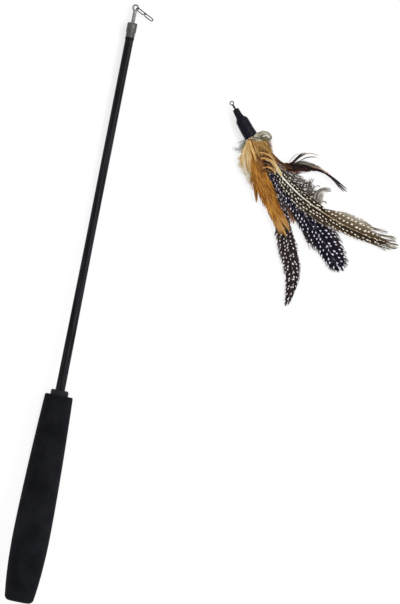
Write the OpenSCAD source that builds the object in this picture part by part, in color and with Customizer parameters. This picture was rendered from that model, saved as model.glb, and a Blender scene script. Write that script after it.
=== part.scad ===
// Cat teaser wand: foam grip, slim rod, swivel and snap, with a clip-on feather lure lying beside it.
// Units are millimetres. The wand lies along +Y with its butt towards -Y, +Z is up, and the surface
// that it lies on is Z = 0. The lure lies on the +X side, as it is laid out for a picture.

/* [Grip] */
// Length of the foam grip
grip_len = 172.5; // [120:0.5:240]
// Diameter of the grip at its belly
grip_belly_d = 30.6; // [25:0.2:40]
// Diameter of the grip at its upper end
grip_top_d = 23.2; // [18:0.2:25]
// Diameter of the grip at the plane of its butt, before the edge is rounded
grip_butt_d = 23; // [18:0.5:24.5]
// Distance from the butt to the belly
grip_belly_at = 55; // [40:0.2:90]
// Radius of the rounded edge at the butt
butt_round = 4.5; // [1:0.1:5]
// Radius of the rounded edge at the upper end
grip_top_round = 1.2; // [0.6:0.1:2]
// Foam left between the rod and the butt face
butt_wall = 12; // [6:1:30]

/* [Collar] */
// Diameter of the collar on top of the grip
collar_d = 14.8; // [12:0.2:20]
// Height of the collar
collar_h = 4.4; // [3:0.2:9]
// Radius of the collar's rounded upper edge
collar_round = 1.6; // [0.6:0.1:2.2]

/* [Rod] */
// Diameter of the rod in the grip
rod_butt_d = 7.9; // [7.6:0.1:10]
// Diameter of the slim front length of the rod
rod_tip_d = 6.9; // [6.6:0.1:7.4]
// Length of the rod from the collar to the ring at its end
rod_free_len = 293; // [200:1:600]
// Length of the slim parallel front of the rod
rod_front_len = 168; // [80:1:185]
// Diameter of the spigot at the end of the rod
spigot_d = 5.2; // [4.6:0.1:5.6]
// Length of the spigot
spigot_len = 6.4; // [5:0.1:6.6]

/* [Tip] */
// Diameter of the black ring at the end of the rod
ring_d = 7.4; // [7:0.1:8.4]
// Height of the ring
ring_h = 2.3; // [1.4:0.1:3]
// Diameter of the ferrule's neck
neck_d = 7.1; // [6.8:0.1:7.6]
// Length of the ferrule's neck
neck_len = 4; // [3:0.1:5]
// Radius of the two beads rolled into the neck
bead_r = 0.35; // [0.2:0.05:0.5]
// Diameter of the ferrule's body
ferrule_d = 8.2; // [8:0.1:10]
// Length of the ferrule's body
ferrule_len = 8.1; // [7.8:0.1:12]
// Radius of the ferrule's rounded front edge
ferrule_round = 1.1; // [0.5:0.1:1.1]
// Thickness of the ferrule's front wall
ferrule_front = 1.2; // [1.1:0.1:1.8]
// Diameter of the chamber inside the ferrule
chamber_d = 6; // [5.8:0.1:6.2]

/* [Swivel] */
// Diameter of the swivel's stem
stem_d = 3; // [2.4:0.1:3.2]
// Length of the stem that shows in front of the ferrule, up to the rim of the eye
stem_out = 9.8; // [7:0.1:14]
// Diameter of the head that keeps the stem in the ferrule
head_d = 5.2; // [4.8:0.1:5.4]
// Thickness of the head
head_h = 1.3; // [0.8:0.1:1.8]
// Outer diameter of the washer under the head
washer_d = 5.6; // [5.4:0.1:5.7]
// Thickness of the washer
washer_h = 0.8; // [0.5:0.1:1]
// Diameter of the hole in the eye
eye_hole_d = 3; // [2.9:0.1:4]
// Thickness of the eye's rim
eye_wire_d = 1.4; // [1:0.1:1.6]

/* [Snap] */
// Diameter of the snap's spring wire
snap_wire_d = 0.85; // [0.6:0.05:0.9]
// Length of the snap over its ends
snap_len = 17.5; // [14:0.5:22]
// Width of the snap over its two sides
snap_w = 4.9; // [4.7:0.1:5.3]
// Angle by which the snap swings clockwise from straight ahead
snap_turn = 116; // [0:1:118]
// Angle between the plane of the snap and the surface it lies on
snap_roll = 61; // [58:1:90]
// Angle by which the far end of the snap hangs
snap_droop = 3; // [0:0.5:5]

/* [Lure fitting] */
// Distance from the wand's axis to the mouth of the lure's sleeve
lure_side = 113.6; // [60:0.2:160]
// Distance of the sleeve's mouth along the wand, from the butt
lure_along = 411; // [300:1:440]
// Angle of the lure's sleeve to the wand's square
lure_bearing = 49; // [30:1:60]
// Angle by which the feathers fan out to one side of the sleeve's axis
fan_turn = 3; // [0:0.5:5]
// Diameter of the sleeve's narrow end
sleeve_neck_d = 4.8; // [4:0.1:6]
// Length of the narrow end
sleeve_neck_len = 7; // [5:0.5:12]
// Length of the shoulder between narrow end and body
shoulder_len = 3.8; // [2:0.1:5]
// Diameter of the sleeve's body behind the shoulder
sleeve_d = 9.8; // [9.6:0.1:10.4]
// Diameter of the sleeve at its mouth
sleeve_mouth_d = 10.8; // [10.4:0.1:12]
// Length of the sleeve's body
sleeve_len = 15.4; // [14.4:0.2:24]
// Thickness of the sleeve's wall
sleeve_wall = 0.6; // [0.4:0.05:0.7]
// Diameter of the lure's wire
lure_wire_d = 0.8; // [0.6:0.05:0.9]
// Outer diameter of the lure's wire eye
lure_eye_d = 3.8; // [3.4:0.1:5]
// Length of twisted wire that shows between the eye and the sleeve
lure_stem_out = 3.9; // [2.5:0.1:8]
// Depth of the glued binding inside the sleeve
binding_len = 9; // [7:0.5:11]
// Thickness of the glue bed at the inner end of the binding
binding_bed = 2.6; // [2:0.1:4]
// Wall of the binding around the quills
binding_wall = 0.65; // [0.5:0.05:0.7]

/* [Feathers] */
// Height of the pile of feathers above the surface
pile_h = 10; // [10:0.5:13]
// Thickness of a vane at its middle
vane_thick = 0.4; // [0.3:0.05:0.45]
// Length of the brown guinea fowl wing feather, from the sleeve
wing_len = 150; // [130:1:170]
// Width of the brown wing feather
wing_w = 18; // [14:0.5:20]
// Length of the broad dark guinea fowl feather
dark_len = 134; // [115:1:150]
// Width of the broad dark feather
dark_w = 24; // [18:0.5:26]
// Length of the slim dark guinea fowl feather
slim_len = 146; // [125:1:160]
// Width of the slim dark feather
slim_w = 15; // [11:0.5:17]
// Length of the grey spotted plume under the wing feather
plume_len = 80; // [65:1:90]
// Width of the grey plume
plume_w = 18; // [13:0.5:20]
// Length of the long ginger hackle
ginger_len = 88; // [75:1:98]
// Width of the long ginger hackle
ginger_w = 13; // [10:0.5:14]
// Length of the short ginger hackle
spike_len = 54; // [45:1:60]
// Width of the short ginger hackle
spike_w = 6; // [4:0.5:7]
// Length of the ginger hackle that is almost hidden under the dark feathers
under_len = 80; // [65:1:90]
// Width of the hidden ginger hackle
under_w = 6; // [4:0.5:7]
// Length of the cream fluff
fluff_len = 32; // [26:1:36]
// Width of the cream fluff
fluff_w = 12; // [9:0.5:13]
// Length of the barred ginger feather
barred_len = 42; // [36:1:46]
// Width of the barred ginger feather
barred_w = 13; // [10:0.5:14]
// Length of the upper brown hackle
upper_len = 72; // [60:1:80]
// Width of the upper brown hackle
upper_w = 3; // [2:0.2:3.6]
// Length of the lower brown hackle
lower_len = 96; // [82:1:105]
// Width of the lower brown hackle
lower_w = 7; // [5:0.5:8]
// Length of the grey curl beside the mouth
curl_len = 24; // [20:1:26]
// Width of the grey curl
curl_w = 6; // [4:0.5:7]
// Length of the pale grey tuft on the other side of the mouth
tuft_len = 16; // [13:1:18]
// Width of the pale grey tuft
tuft_w = 5; // [3:0.5:5.5]
// Radius of the thickest quill, on the wing feather
quill_r = 0.55; // [0.4:0.05:0.6]
// Radius of the other quills
small_quill_r = 0.4; // [0.3:0.05:0.45]

/* [Fits] */
// Gap between pieces that are glued or pushed together
fit_gap = 0.05; // [0.03:0.01:0.1]
// Running gap at the swivel and at the snap
run_gap = 0.1; // [0.06:0.01:0.15]
// Slack of the snap's wire in the hole of the eye
snap_slack = 0.2; // [0.15:0.01:0.3]

/* [Hidden] */
$fn = 64;
// Overrun of every cut
cut = 1;

// Places along the wand, from the butt
grip_belly_r = grip_belly_d / 2;
grip_top_r = grip_top_d / 2;
collar_top = grip_len + collar_h;
rod_end = collar_top + rod_free_len;
ferrule_start = rod_end + ring_h;
body_start = ferrule_start + neck_len;
ferrule_end = body_start + ferrule_len;
eye_mid_r = (eye_hole_d + eye_wire_d) / 2;
eye_outer_r = eye_hole_d / 2 + eye_wire_d;
eye_at = ferrule_end + stem_out + eye_outer_r;
chamber_top = ferrule_end - ferrule_front;
washer_bottom = chamber_top - run_gap - washer_h;
head_bottom = washer_bottom - run_gap - head_h;

// The back of the grip is an ellipse that is cut off at the butt, the front a gentle power curve
back_power = 2;
front_power = 1.6;
back_reach = grip_belly_at / pow(1 - pow(grip_butt_d / grip_belly_d, back_power), 1 / back_power);
function back_r(s) =
    grip_belly_r * pow(1 - pow((grip_belly_at - s) / back_reach, back_power), 1 / back_power);
function front_r(s) = grip_belly_r
    - (grip_belly_r - grip_top_r) * pow((s - grip_belly_at) / (grip_len - grip_belly_at), front_power);
function between(a, b, k, n) = a + (b - a) * k / n;
back_steps = 14;
front_steps = 20;
round_steps = 6;
back_points = [for (k = [0 : back_steps])
    let (s = between(butt_round, grip_belly_at, k, back_steps)) [back_r(s), s]];
front_points = [for (k = [1 : front_steps])
    let (s = between(grip_belly_at, grip_len - grip_top_round, k, front_steps)) [front_r(s), s]];
butt_edge = [for (k = [0 : round_steps - 1])
    let (a = 90 * k / round_steps)
    [back_r(butt_round) - butt_round * (1 - sin(a)), butt_round * (1 - cos(a))]];
top_edge = [for (k = [1 : round_steps])
    let (a = 90 * k / round_steps)
    [front_r(grip_len - grip_top_round) - grip_top_round * (1 - cos(a)),
     grip_len - grip_top_round * (1 - sin(a))]];

// The wand rests on its belly and on the front of the ferrule, so its axis slopes down to the tip
ferrule_rest_at = ferrule_end - ferrule_round;
slope = max([for (p = front_points) atan((p[0] - ferrule_d / 2) / (ferrule_rest_at - p[1]))]);
butt_height = ferrule_d / 2 * cos(slope) + ferrule_rest_at * sin(slope);

// Lure: sizes along its own axis, which starts at the sleeve's mouth and runs towards the tips
sleeve_axis_h = sleeve_mouth_d / 2;
sleeve_back = sleeve_len + shoulder_len + sleeve_neck_len;
lure_eye_at = -(sleeve_back + lure_stem_out + lure_eye_d / 2);
bore_back_r = sleeve_d / 2 - sleeve_wall;
binding_at = -(sleeve_len - fit_gap);
socket_r = bore_back_r - fit_gap - binding_wall;
quill_in = -(binding_at + binding_bed + fit_gap);

// Smooth curve through points: a cubic through each pair, with the slopes taken from its neighbours
function curve_at(a, b, c, d, t) =
    0.5 * (2 * b + (c - a) * t + (2 * a - 5 * b + 4 * c - d) * t * t
    + (3 * b - a - 3 * c + d) * t * t * t);
function smooth(points, n) = let (last = len(points) - 1)
    concat([for (i = [0 : last - 1], k = [0 : n - 1])
        curve_at(points[max(i - 1, 0)], points[i], points[i + 1], points[min(i + 2, last)], k / n)],
        [points[last]]);
// Length run along a list of points, up to each of them
function runs(p, i = 0, sum = 0, out = []) = i == len(p) ? out
    : let (s = i == 0 ? 0 : sum + norm(p[i] - p[i - 1])) runs(p, i + 1, s, concat(out, [s]));
function flat_unit(v) = [v[0], v[1]] / norm([v[0], v[1]]);

// Each feather: where its quill sits in the binding, as shares of the socket's radius (side, up);
// its route from the mouth, as shares of its length (along, side) and of the pile (up);
// and the reach of its vane to the left and to the right, as [share of its length, share of its width].
wing_seat_share = [0.3, 0.3];
wing_route_shares = [[0.07, 0.01, 0.67], [0.2, 0.013, 0.66], [0.42, 0.053, 0.62], [0.627, 0.137, 0.5],
                     [0.8, 0.24, 0.36], [0.94, 0.353, 0.26]];
wing_right_shares = [[0.12, 0.03], [0.2, 0.15], [0.33, 0.4], [0.45, 0.52], [0.58, 0.5], [0.68, 0.44],
                    [0.8, 0.36], [0.93, 0.32], [0.99, 0.05]];
wing_left_shares = [[0.14, 0.03], [0.22, 0.14], [0.36, 0.3], [0.5, 0.34], [0.6, 0.3], [0.7, 0.58],
                     [0.82, 0.56], [0.92, 0.36], [1, 0.06]];
dark_seat_share = [0.16, -0.06];
dark_route_shares = [[0.1, 0.006, 0.52], [0.22, 0.007, 0.5], [0.45, 0.015, 0.46], [0.634, 0.016, 0.34],
                     [0.82, 0.025, 0.22], [0.993, 0.015, 0.15]];
dark_right_shares = [[0.12, 0.02], [0.2, 0.12], [0.33, 0.3], [0.6, 0.36], [0.7, 0.43], [0.76, 0.5],
                    [0.83, 0.36], [0.9, 0.3], [0.96, 0.2], [1, 0.04]];
dark_left_shares = [[0.12, 0.02], [0.2, 0.1], [0.4, 0.24], [0.6, 0.32], [0.76, 0.38], [0.84, 0.53],
                     [0.9, 0.52], [0.96, 0.32], [1, 0.08]];
slim_seat_share = [-0.32, -0.34];
slim_route_shares = [[0.05, -0.008, 0.42], [0.137, -0.017, 0.38], [0.308, -0.055, 0.34],
                     [0.473, -0.103, 0.3], [0.63, -0.158, 0.27], [0.78, -0.222, 0.23],
                     [0.856, -0.281, 0.18], [0.911, -0.349, 0.13]];
slim_right_shares = [[0.1, 0.02], [0.17, 0.12], [0.35, 0.25], [0.5, 0.35], [0.62, 0.48], [0.72, 0.54],
                    [0.82, 0.48], [0.92, 0.34], [1, 0.03]];
slim_left_shares = [[0.1, 0.02], [0.17, 0.15], [0.35, 0.36], [0.5, 0.42], [0.62, 0.42], [0.7, 0.48],
                     [0.8, 0.36], [0.9, 0.16], [1, 0.03]];
plume_seat_share = [0.34, -0.77];
plume_route_shares = [[0.1, 0.022, 0.22], [0.25, 0.03, 0.18], [0.5, 0.08, 0.14], [0.75, 0.155, 0.14],
                      [0.95, 0.22, 0.16]];
plume_right_shares = [[0.15, 0.03], [0.25, 0.2], [0.5, 0.36], [0.8, 0.34], [1, 0.06]];
plume_left_shares = [[0.2, 0.03], [0.32, 0.16], [0.45, 0.22], [0.58, 0.46], [0.72, 0.5], [0.84, 0.46],
                      [0.93, 0.6], [1, 0.1]];
ginger_seat_share = [-0.28, 0.62];
ginger_route_shares = [[0.06, -0.035, 0.76], [0.205, -0.091, 0.72], [0.398, -0.136, 0.66],
                       [0.568, -0.165, 0.6], [0.727, -0.187, 0.54], [0.852, -0.2, 0.5],
                       [0.955, -0.205, 0.47]];
ginger_right_shares = [[0.07, 0.05], [0.14, 0.22], [0.3, 0.25], [0.42, 0.4], [0.53, 0.5], [0.63, 0.48],
                      [0.7, 0.3], [0.78, 0.28], [0.88, 0.36], [1, 0.1]];
ginger_left_shares = [[0.07, 0.05], [0.14, 0.18], [0.3, 0.25], [0.42, 0.34], [0.53, 0.48],
                       [0.63, 0.46], [0.72, 0.27], [0.8, 0.4], [0.9, 0.3], [1, 0.14]];
spike_seat_share = [-0.72, 0.44];
spike_route_shares = [[0.07, -0.075, 0.56], [0.22, -0.15, 0.52], [0.46, -0.25, 0.44],
                      [0.68, -0.36, 0.37], [0.88, -0.47, 0.3]];
spike_right_shares = [[0.1, 0.08], [0.25, 0.4], [0.5, 0.42], [0.75, 0.24], [1, 0.04]];
spike_left_shares = [[0.1, 0.08], [0.25, 0.36], [0.5, 0.4], [0.75, 0.22], [1, 0.04]];
under_seat_share = [-0.19, -0.69];
under_route_shares = [[0.1, -0.007, 0.29], [0.31, -0.013, 0.26], [0.62, -0.038, 0.21],
                      [0.87, -0.06, 0.17], [0.99, -0.1, 0.14]];
under_right_shares = [[0.1, 0.08], [0.3, 0.35], [0.7, 0.45], [0.9, 0.4], [1, 0.1]];
under_left_shares = [[0.1, 0.08], [0.3, 0.35], [0.7, 0.45], [0.9, 0.45], [1, 0.1]];
fluff_seat_share = [-0.69, 0.12];
fluff_route_shares = [[0.07, -0.13, 0.47], [0.2, -0.26, 0.44], [0.42, -0.45, 0.38],
                      [0.62, -0.63, 0.32], [0.74, -0.72, 0.28]];
fluff_right_shares = [[0.1, 0.05], [0.3, 0.34], [0.6, 0.5], [0.85, 0.4], [1, 0.1]];
fluff_left_shares = [[0.1, 0.05], [0.3, 0.3], [0.6, 0.46], [0.85, 0.4], [1, 0.1]];
barred_seat_share = [0.16, 0.78];
barred_route_shares = [[0.06, 0.045, 0.86], [0.2, 0.1, 0.86], [0.43, 0.107, 0.83], [0.667, 0.13, 0.78],
                       [0.93, 0.214, 0.7]];
barred_right_shares = [[0.08, 0.04], [0.22, 0.3], [0.45, 0.5], [0.68, 0.55], [0.85, 0.3], [1, 0.05]];
barred_left_shares = [[0.08, 0.04], [0.25, 0.42], [0.45, 0.36], [0.68, 0.25], [0.85, 0.18], [1, 0.05]];
upper_seat_share = [0.81, 0.12];
upper_route_shares = [[0.07, 0.065, 0.6], [0.2, 0.09, 0.61], [0.36, 0.11, 0.62], [0.46, 0.16, 0.64],
                      [0.505, 0.25, 0.68], [0.495, 0.36, 0.7], [0.52, 0.46, 0.66], [0.61, 0.54, 0.6]];
upper_right_shares = [[0.1, 0.1], [0.3, 0.4], [0.6, 0.4], [0.8, 0.3], [1, 0.1]];
upper_left_shares = [[0.1, 0.1], [0.3, 0.4], [0.6, 0.4], [0.8, 0.3], [1, 0.1]];
lower_seat_share = [0.75, -0.41];
lower_route_shares = [[0.05, 0.045, 0.42], [0.16, 0.068, 0.42], [0.31, 0.097, 0.42],
                      [0.395, 0.14, 0.42], [0.46, 0.215, 0.41], [0.525, 0.285, 0.39],
                      [0.6, 0.345, 0.36], [0.69, 0.39, 0.32], [0.83, 0.438, 0.26]];
lower_right_shares = [[0.1, 0.05], [0.3, 0.24], [0.45, 0.45], [0.6, 0.45], [0.7, 0.16], [0.9, 0.12],
                     [1, 0.05]];
lower_left_shares = [[0.1, 0.05], [0.3, 0.2], [0.45, 0.34], [0.6, 0.3], [0.7, 0.14], [0.9, 0.12],
                      [1, 0.05]];
curl_seat_share = [0.6, 0.58];
curl_route_shares = [[0.11, 0.25, 0.8], [0.16, 0.38, 0.88], [0.25, 0.48, 0.92], [0.36, 0.5, 0.9],
                     [0.43, 0.44, 0.84]];
curl_right_shares = [[0.1, 0.1], [0.3, 0.34], [0.6, 0.45], [0.85, 0.4], [1, 0.15]];
curl_left_shares = [[0.1, 0.1], [0.3, 0.3], [0.6, 0.4], [0.85, 0.35], [1, 0.15]];
tuft_seat_share = [-0.82, -0.17];
tuft_route_shares = [[0.12, -0.32, 0.38], [0.16, -0.56, 0.27], [0.24, -0.82, 0.18]];
tuft_right_shares = [[0.15, 0.1], [0.4, 0.32], [0.7, 0.5], [1, 0.1]];
tuft_left_shares = [[0.15, 0.1], [0.4, 0.3], [0.7, 0.45], [1, 0.1]];

// Route of a feather: its quill lies straight in the binding, then it follows its own points, which
// are turned to the side that the whole fan lies on
function fanned(p) =
    [p[0] * cos(fan_turn) - p[1] * sin(fan_turn), p[0] * sin(fan_turn) + p[1] * cos(fan_turn), p[2]];
function feather_route(length, seat, shares, n) =
    let (side = seat[0] * socket_r, up = sleeve_axis_h + seat[1] * socket_r)
    concat([[-quill_in, side, up], [-quill_in / 2, side, up]],
        smooth(concat([[0, side, up]],
            [for (s = shares) fanned([s[0] * length, s[1] * length, s[2] * pile_h])]), n));

wing_tip = fanned(wing_route_shares[len(wing_route_shares) - 1] * wing_len);
lure_reach = lure_side + wing_tip[0] * cos(lure_bearing) + wing_tip[1] * sin(lure_bearing);
// The part's origin is the middle of its footprint
wand_x = -(lure_reach - grip_belly_r) / 2;
butt_y = -(eye_at + eye_outer_r) / 2;

// Shares of a vane's width and thickness that shape its cross-section
vane_drop_share = 0.07;
vane_half_share = 0.5;
rib_flank_share = 0.6;
rib_taper_share = 0.75;
// The edge of a vane steps in and out, where its barbs part
ragged_share = 0.12;
// Samples between two points of a feather's route
route_steps = 4;

// A closed skin over rings of points, with a fan at each end
module skin(rings) {
    n = len(rings[0]);
    last = len(rings) - 1;
    points = [for (r = rings, p = r) p];
    faces = concat(
        [for (i = [0 : last - 1], k = [0 : n - 1])
            let (a = i * n + k, b = i * n + (k + 1) % n) [a, a + n, b]],
        [for (i = [0 : last - 1], k = [0 : n - 1])
            let (b = i * n + (k + 1) % n, a = i * n + k) [b, a + n, b + n]],
        [for (k = [1 : n - 2]) [0, k, k + 1]],
        [for (k = [1 : n - 2]) [last * n, last * n + k + 1, last * n + k]]);
    polyhedron(points = points, faces = faces, convexity = 6);
}

// One feather: a thin vane that droops to its edges, with a tapering rib along its top
module feather(route, width, left_shares, right_shares, quill, thick, ragged = ragged_share) {
    run = runs(route);
    free_start = run[2];
    free_len = run[len(run) - 1] - free_start;
    last = len(route) - 1;
    rings = [for (i = [0 : last])
        let (ahead = flat_unit(route[min(i + 1, last)] - route[max(i - 1, 0)]),
             side = [-ahead[1], ahead[0], 0],
             share = max(0, (run[i] - free_start) / free_len),
             rib = quill * (1 - rib_taper_share * share),
             step = i % 2 == 0 ? 1 : 1 - ragged,
             right = max(rib, width * step * lookup(share, right_shares)),
             left = max(rib, width * step * lookup(share, left_shares)),
             t = thick / 2)
        [for (q = [
            [left, -vane_drop_share * (left - rib)],
            [vane_half_share * left + rib * (1 - vane_half_share) * rib_flank_share,
                t - vane_drop_share * (left - rib) / 4],
            [rib * rib_flank_share, t],
            [0, t + rib * rib_flank_share],
            [-rib * rib_flank_share, t],
            [-vane_half_share * right - rib * (1 - vane_half_share) * rib_flank_share,
                t - vane_drop_share * (right - rib) / 4],
            [-right, -vane_drop_share * (right - rib)],
            [-vane_half_share * right, -t - vane_drop_share * (right - rib) / 4],
            [0, -t - rib * (1 - rib_flank_share)],
            [vane_half_share * left, -t - vane_drop_share * (left - rib) / 4]])
            route[i] + side * q[0] + [0, 0, q[1]]]];
    skin(rings);
}

// A round wire along a route
module wire(route, r, sides = 10) {
    last = len(route) - 1;
    rings = [for (i = [0 : last])
        let (d = route[min(i + 1, last)] - route[max(i - 1, 0)],
             t = d / norm(d),
             helper = abs(t[2]) < 0.9 ? [0, 0, 1] : [0, 1, 0],
             u = cross(helper, t) / norm(cross(helper, t)),
             v = cross(t, u))
        [for (k = [0 : sides - 1])
            let (a = 360 * k / sides) route[i] + r * (cos(a) * u + sin(a) * v)]];
    skin(rings);
}

// Puts a piece whose axis is Z, with the butt at 0, on the sloping axis of the wand
module on_wand() {
    translate([wand_x, butt_y, butt_height]) rotate([-90 - slope, 0, 0]) children();
}

// Puts a piece at the centre of the swivel's eye, with X to the side and Y along the wand
module on_eye() {
    translate([wand_x, butt_y, butt_height]) rotate([-slope, 0, 0]) translate([0, eye_at, 0])
        children();
}

// Puts a piece of the snap, drawn flat with its length along X from the eye's centre
module on_snap() {
    on_eye() rotate([0, 0, 90 - snap_turn]) rotate([0, snap_droop, 0]) rotate([snap_roll, 0, 0])
        children();
}

// Puts a piece in the lure's frame: X along the sleeve to the feather tips, from the mouth
module on_lure() {
    translate([wand_x + lure_side, butt_y + lure_along, 0]) rotate([0, 0, -lure_bearing]) children();
}

module ring_about_z(mid_r, wire_r) {
    rotate_extrude() translate([mid_r, 0]) circle(r = wire_r);
}

module grip() {
    color([0.11, 0.11, 0.12]) on_wand() difference() {
        rotate_extrude() polygon(concat([[0, 0]], butt_edge, back_points, front_points, top_edge,
            [[0, grip_len]]));
        translate([0, 0, butt_wall])
            cylinder(r = rod_butt_d / 2 + fit_gap, h = grip_len - butt_wall + cut);
    }
}

module grip_collar() {
    r = collar_d / 2;
    edge = [for (k = [0 : round_steps])
        let (a = 90 * k / round_steps)
        [r - collar_round * (1 - cos(a)), collar_top - collar_round * (1 - sin(a))]];
    bore = rod_butt_d / 2 + fit_gap;
    color([0.16, 0.16, 0.17]) on_wand() rotate_extrude()
        polygon(concat([[bore, grip_len + fit_gap], [r, grip_len + fit_gap]], edge,
            [[bore, collar_top]]));
}

module rod() {
    taper_start = rod_end - rod_front_len;
    color([0.09, 0.09, 0.1]) on_wand() rotate_extrude() polygon([
        [0, butt_wall + fit_gap], [rod_butt_d / 2, butt_wall + fit_gap],
        [rod_butt_d / 2, collar_top], [rod_tip_d / 2, taper_start], [rod_tip_d / 2, rod_end],
        [spigot_d / 2, rod_end], [spigot_d / 2, rod_end + spigot_len], [0, rod_end + spigot_len]]);
}

module rod_end_ring() {
    color([0.05, 0.05, 0.06]) on_wand() translate([0, 0, rod_end + fit_gap]) difference() {
        cylinder(r = ring_d / 2, h = ring_h - 2 * fit_gap);
        translate([0, 0, -cut]) cylinder(r = spigot_d / 2 + fit_gap, h = ring_h + 2 * cut);
    }
}

module tip_ferrule() {
    r = ferrule_d / 2;
    front = [for (k = [0 : round_steps])
        let (a = 90 * k / round_steps)
        [r - ferrule_round * (1 - cos(a)), ferrule_end - ferrule_round * (1 - sin(a))]];
    socket_end = rod_end + spigot_len + fit_gap;
    bead_gap = neck_len / 3;
    color([0.45, 0.45, 0.46]) on_wand() difference() {
        union() {
            rotate_extrude() polygon(concat([[0, ferrule_start], [neck_d / 2, ferrule_start],
                [neck_d / 2, body_start], [r, body_start]], front, [[0, ferrule_end]]));
            for (k = [1 : 2])
                translate([0, 0, ferrule_start + k * bead_gap]) ring_about_z(neck_d / 2, bead_r);
        }
        translate([0, 0, ferrule_start - cut])
            cylinder(r = spigot_d / 2 + fit_gap, h = socket_end - ferrule_start + cut);
        translate([0, 0, body_start])
            cylinder(r = chamber_d / 2, h = chamber_top - body_start);
        translate([0, 0, chamber_top - cut])
            cylinder(r = stem_d / 2 + run_gap, h = ferrule_front + 2 * cut);
    }
}

module swivel_eye() {
    color([0.6, 0.6, 0.61]) on_wand() {
        translate([0, 0, head_bottom]) cylinder(r = head_d / 2, h = head_h);
        translate([0, 0, head_bottom])
            cylinder(r = stem_d / 2, h = eye_at - eye_mid_r - head_bottom - eye_wire_d / 4);
        translate([0, 0, eye_at]) rotate([90, 0, 0]) ring_about_z(eye_mid_r, eye_wire_d / 2);
    }
}

module swivel_washer() {
    color([0.72, 0.6, 0.35]) on_wand() translate([0, 0, washer_bottom]) difference() {
        cylinder(r = washer_d / 2, h = washer_h);
        translate([0, 0, -cut]) cylinder(r = stem_d / 2 + run_gap, h = washer_h + 2 * cut);
    }
}

// The snap is bent from one wire. Its spine runs on one side and round both ends; at each end an arm
// comes back on the other side, crosses over the spine and hooks behind it, and can be sprung open.
snap_r = snap_wire_d / 2;
snap_side = snap_w / 2 - snap_r;
snap_near = eye_hole_d / 2 - snap_r - snap_slack + snap_side;
snap_far = snap_near + snap_len - snap_w;
snap_mid = (snap_near + snap_far) / 2;
hook_lift = snap_wire_d + run_gap;
hook_gap = snap_wire_d + 2 * run_gap;

module half_ring(mid_r, wire_r) {
    rotate_extrude(angle = 180) translate([mid_r, 0]) circle(r = wire_r, $fn = 32);
}

module snap_spine() {
    color([0.32, 0.32, 0.34]) on_snap() {
        translate([snap_near, snap_side, 0]) rotate([0, 90, 0])
            cylinder(r = snap_r, h = snap_far - snap_near, $fn = 32);
        translate([snap_near, 0, 0]) rotate([0, 0, 90]) half_ring(snap_side, snap_r);
        translate([snap_far, 0, 0]) rotate([0, 0, -90]) half_ring(snap_side, snap_r);
    }
}

// Points of an arm from the end bend to the hook, as shares: of the way from bend to crossing,
// of the snap's side, and of the lift that carries the hook over the spine
arm_route_shares = [[0, -1, 0], [0.35, -1, 0], [0.7, -0.9, 0.12], [0.92, -0.4, 0.6], [1, 0.3, 1],
                    [1, 1, 1], [1, 1.42, 0.75], [1, 1.5, 0.2]];

function arm_route(start, crossing) = smooth([for (s = arm_route_shares)
    [start + s[0] * (crossing - start), s[1] * snap_side, s[2] * hook_lift]], 4);

module snap_arm_near() {
    color([0.36, 0.36, 0.38]) on_snap()
        wire(arm_route(snap_near + run_gap, snap_mid - hook_gap / 2), snap_r);
}

module snap_arm_far() {
    color([0.36, 0.36, 0.38]) on_snap()
        wire(arm_route(snap_far - run_gap, snap_mid + hook_gap / 2), snap_r);
}

// Points of one of the two strands that are twisted together behind the lure's eye
strand_turn_len = 5 * lure_wire_d;
strand_mid_r = (lure_wire_d + fit_gap) / 2;
strand_steps = 8;
stem_bore_r = strand_mid_r + lure_wire_d / 2 + fit_gap;
function strand(start, end, phase) =
    let (turns = (end - start) / strand_turn_len, n = ceil(turns * strand_steps))
    [for (k = [0 : n])
        let (a = phase + 360 * turns * k / n)
        [between(start, end, k, n), strand_mid_r * cos(a), strand_mid_r * sin(a)]];

module lure_eye() {
    mid_r = (lure_eye_d - lure_wire_d) / 2;
    color([0.5, 0.5, 0.5]) on_lure() translate([0, 0, sleeve_axis_h]) {
        translate([lure_eye_at, 0, 0]) ring_about_z(mid_r, lure_wire_d / 2);
        for (phase = [0, 180])
            wire(strand(lure_eye_at + mid_r, binding_at + binding_bed / 2, phase),
                lure_wire_d / 2, 8);
    }
}

module lure_sleeve() {
    neck_r = sleeve_neck_d / 2;
    neck_bore = stem_bore_r;
    shoulder_at = -(sleeve_len + shoulder_len);
    ease = [for (k = [1 : round_steps - 1])
        let (t = k / round_steps, s = t * t * (3 - 2 * t))
        [between(neck_r, sleeve_d / 2, s, 1), shoulder_at + t * shoulder_len]];
    color([0.13, 0.12, 0.17]) on_lure() translate([0, 0, sleeve_axis_h]) rotate([0, 90, 0])
        rotate_extrude() polygon(concat(
            [[neck_bore, -sleeve_back], [neck_r, -sleeve_back], [neck_r, shoulder_at]], ease,
            [[sleeve_d / 2, -sleeve_len], [sleeve_mouth_d / 2, 0],
             [sleeve_mouth_d / 2 - sleeve_wall, 0], [bore_back_r, -sleeve_len],
             [neck_bore, -sleeve_len]]));
}

module quill_binding() {
    stem_depth = (binding_bed + lure_wire_d) / 2 + fit_gap;
    color([0.55, 0.5, 0.42]) on_lure() translate([binding_at, 0, sleeve_axis_h]) rotate([0, 90, 0])
        difference() {
            cylinder(r = bore_back_r - fit_gap, h = binding_len);
            translate([0, 0, binding_bed]) cylinder(r = socket_r, h = binding_len);
            translate([0, 0, -cut]) cylinder(r = stem_bore_r, h = stem_depth + cut);
        }
}

module guinea_wing_feather() {
    color([0.4, 0.33, 0.24]) on_lure() feather(
        feather_route(wing_len, wing_seat_share, wing_route_shares, route_steps + 1), wing_w,
        wing_left_shares, wing_right_shares, quill_r, vane_thick);
}

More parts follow.
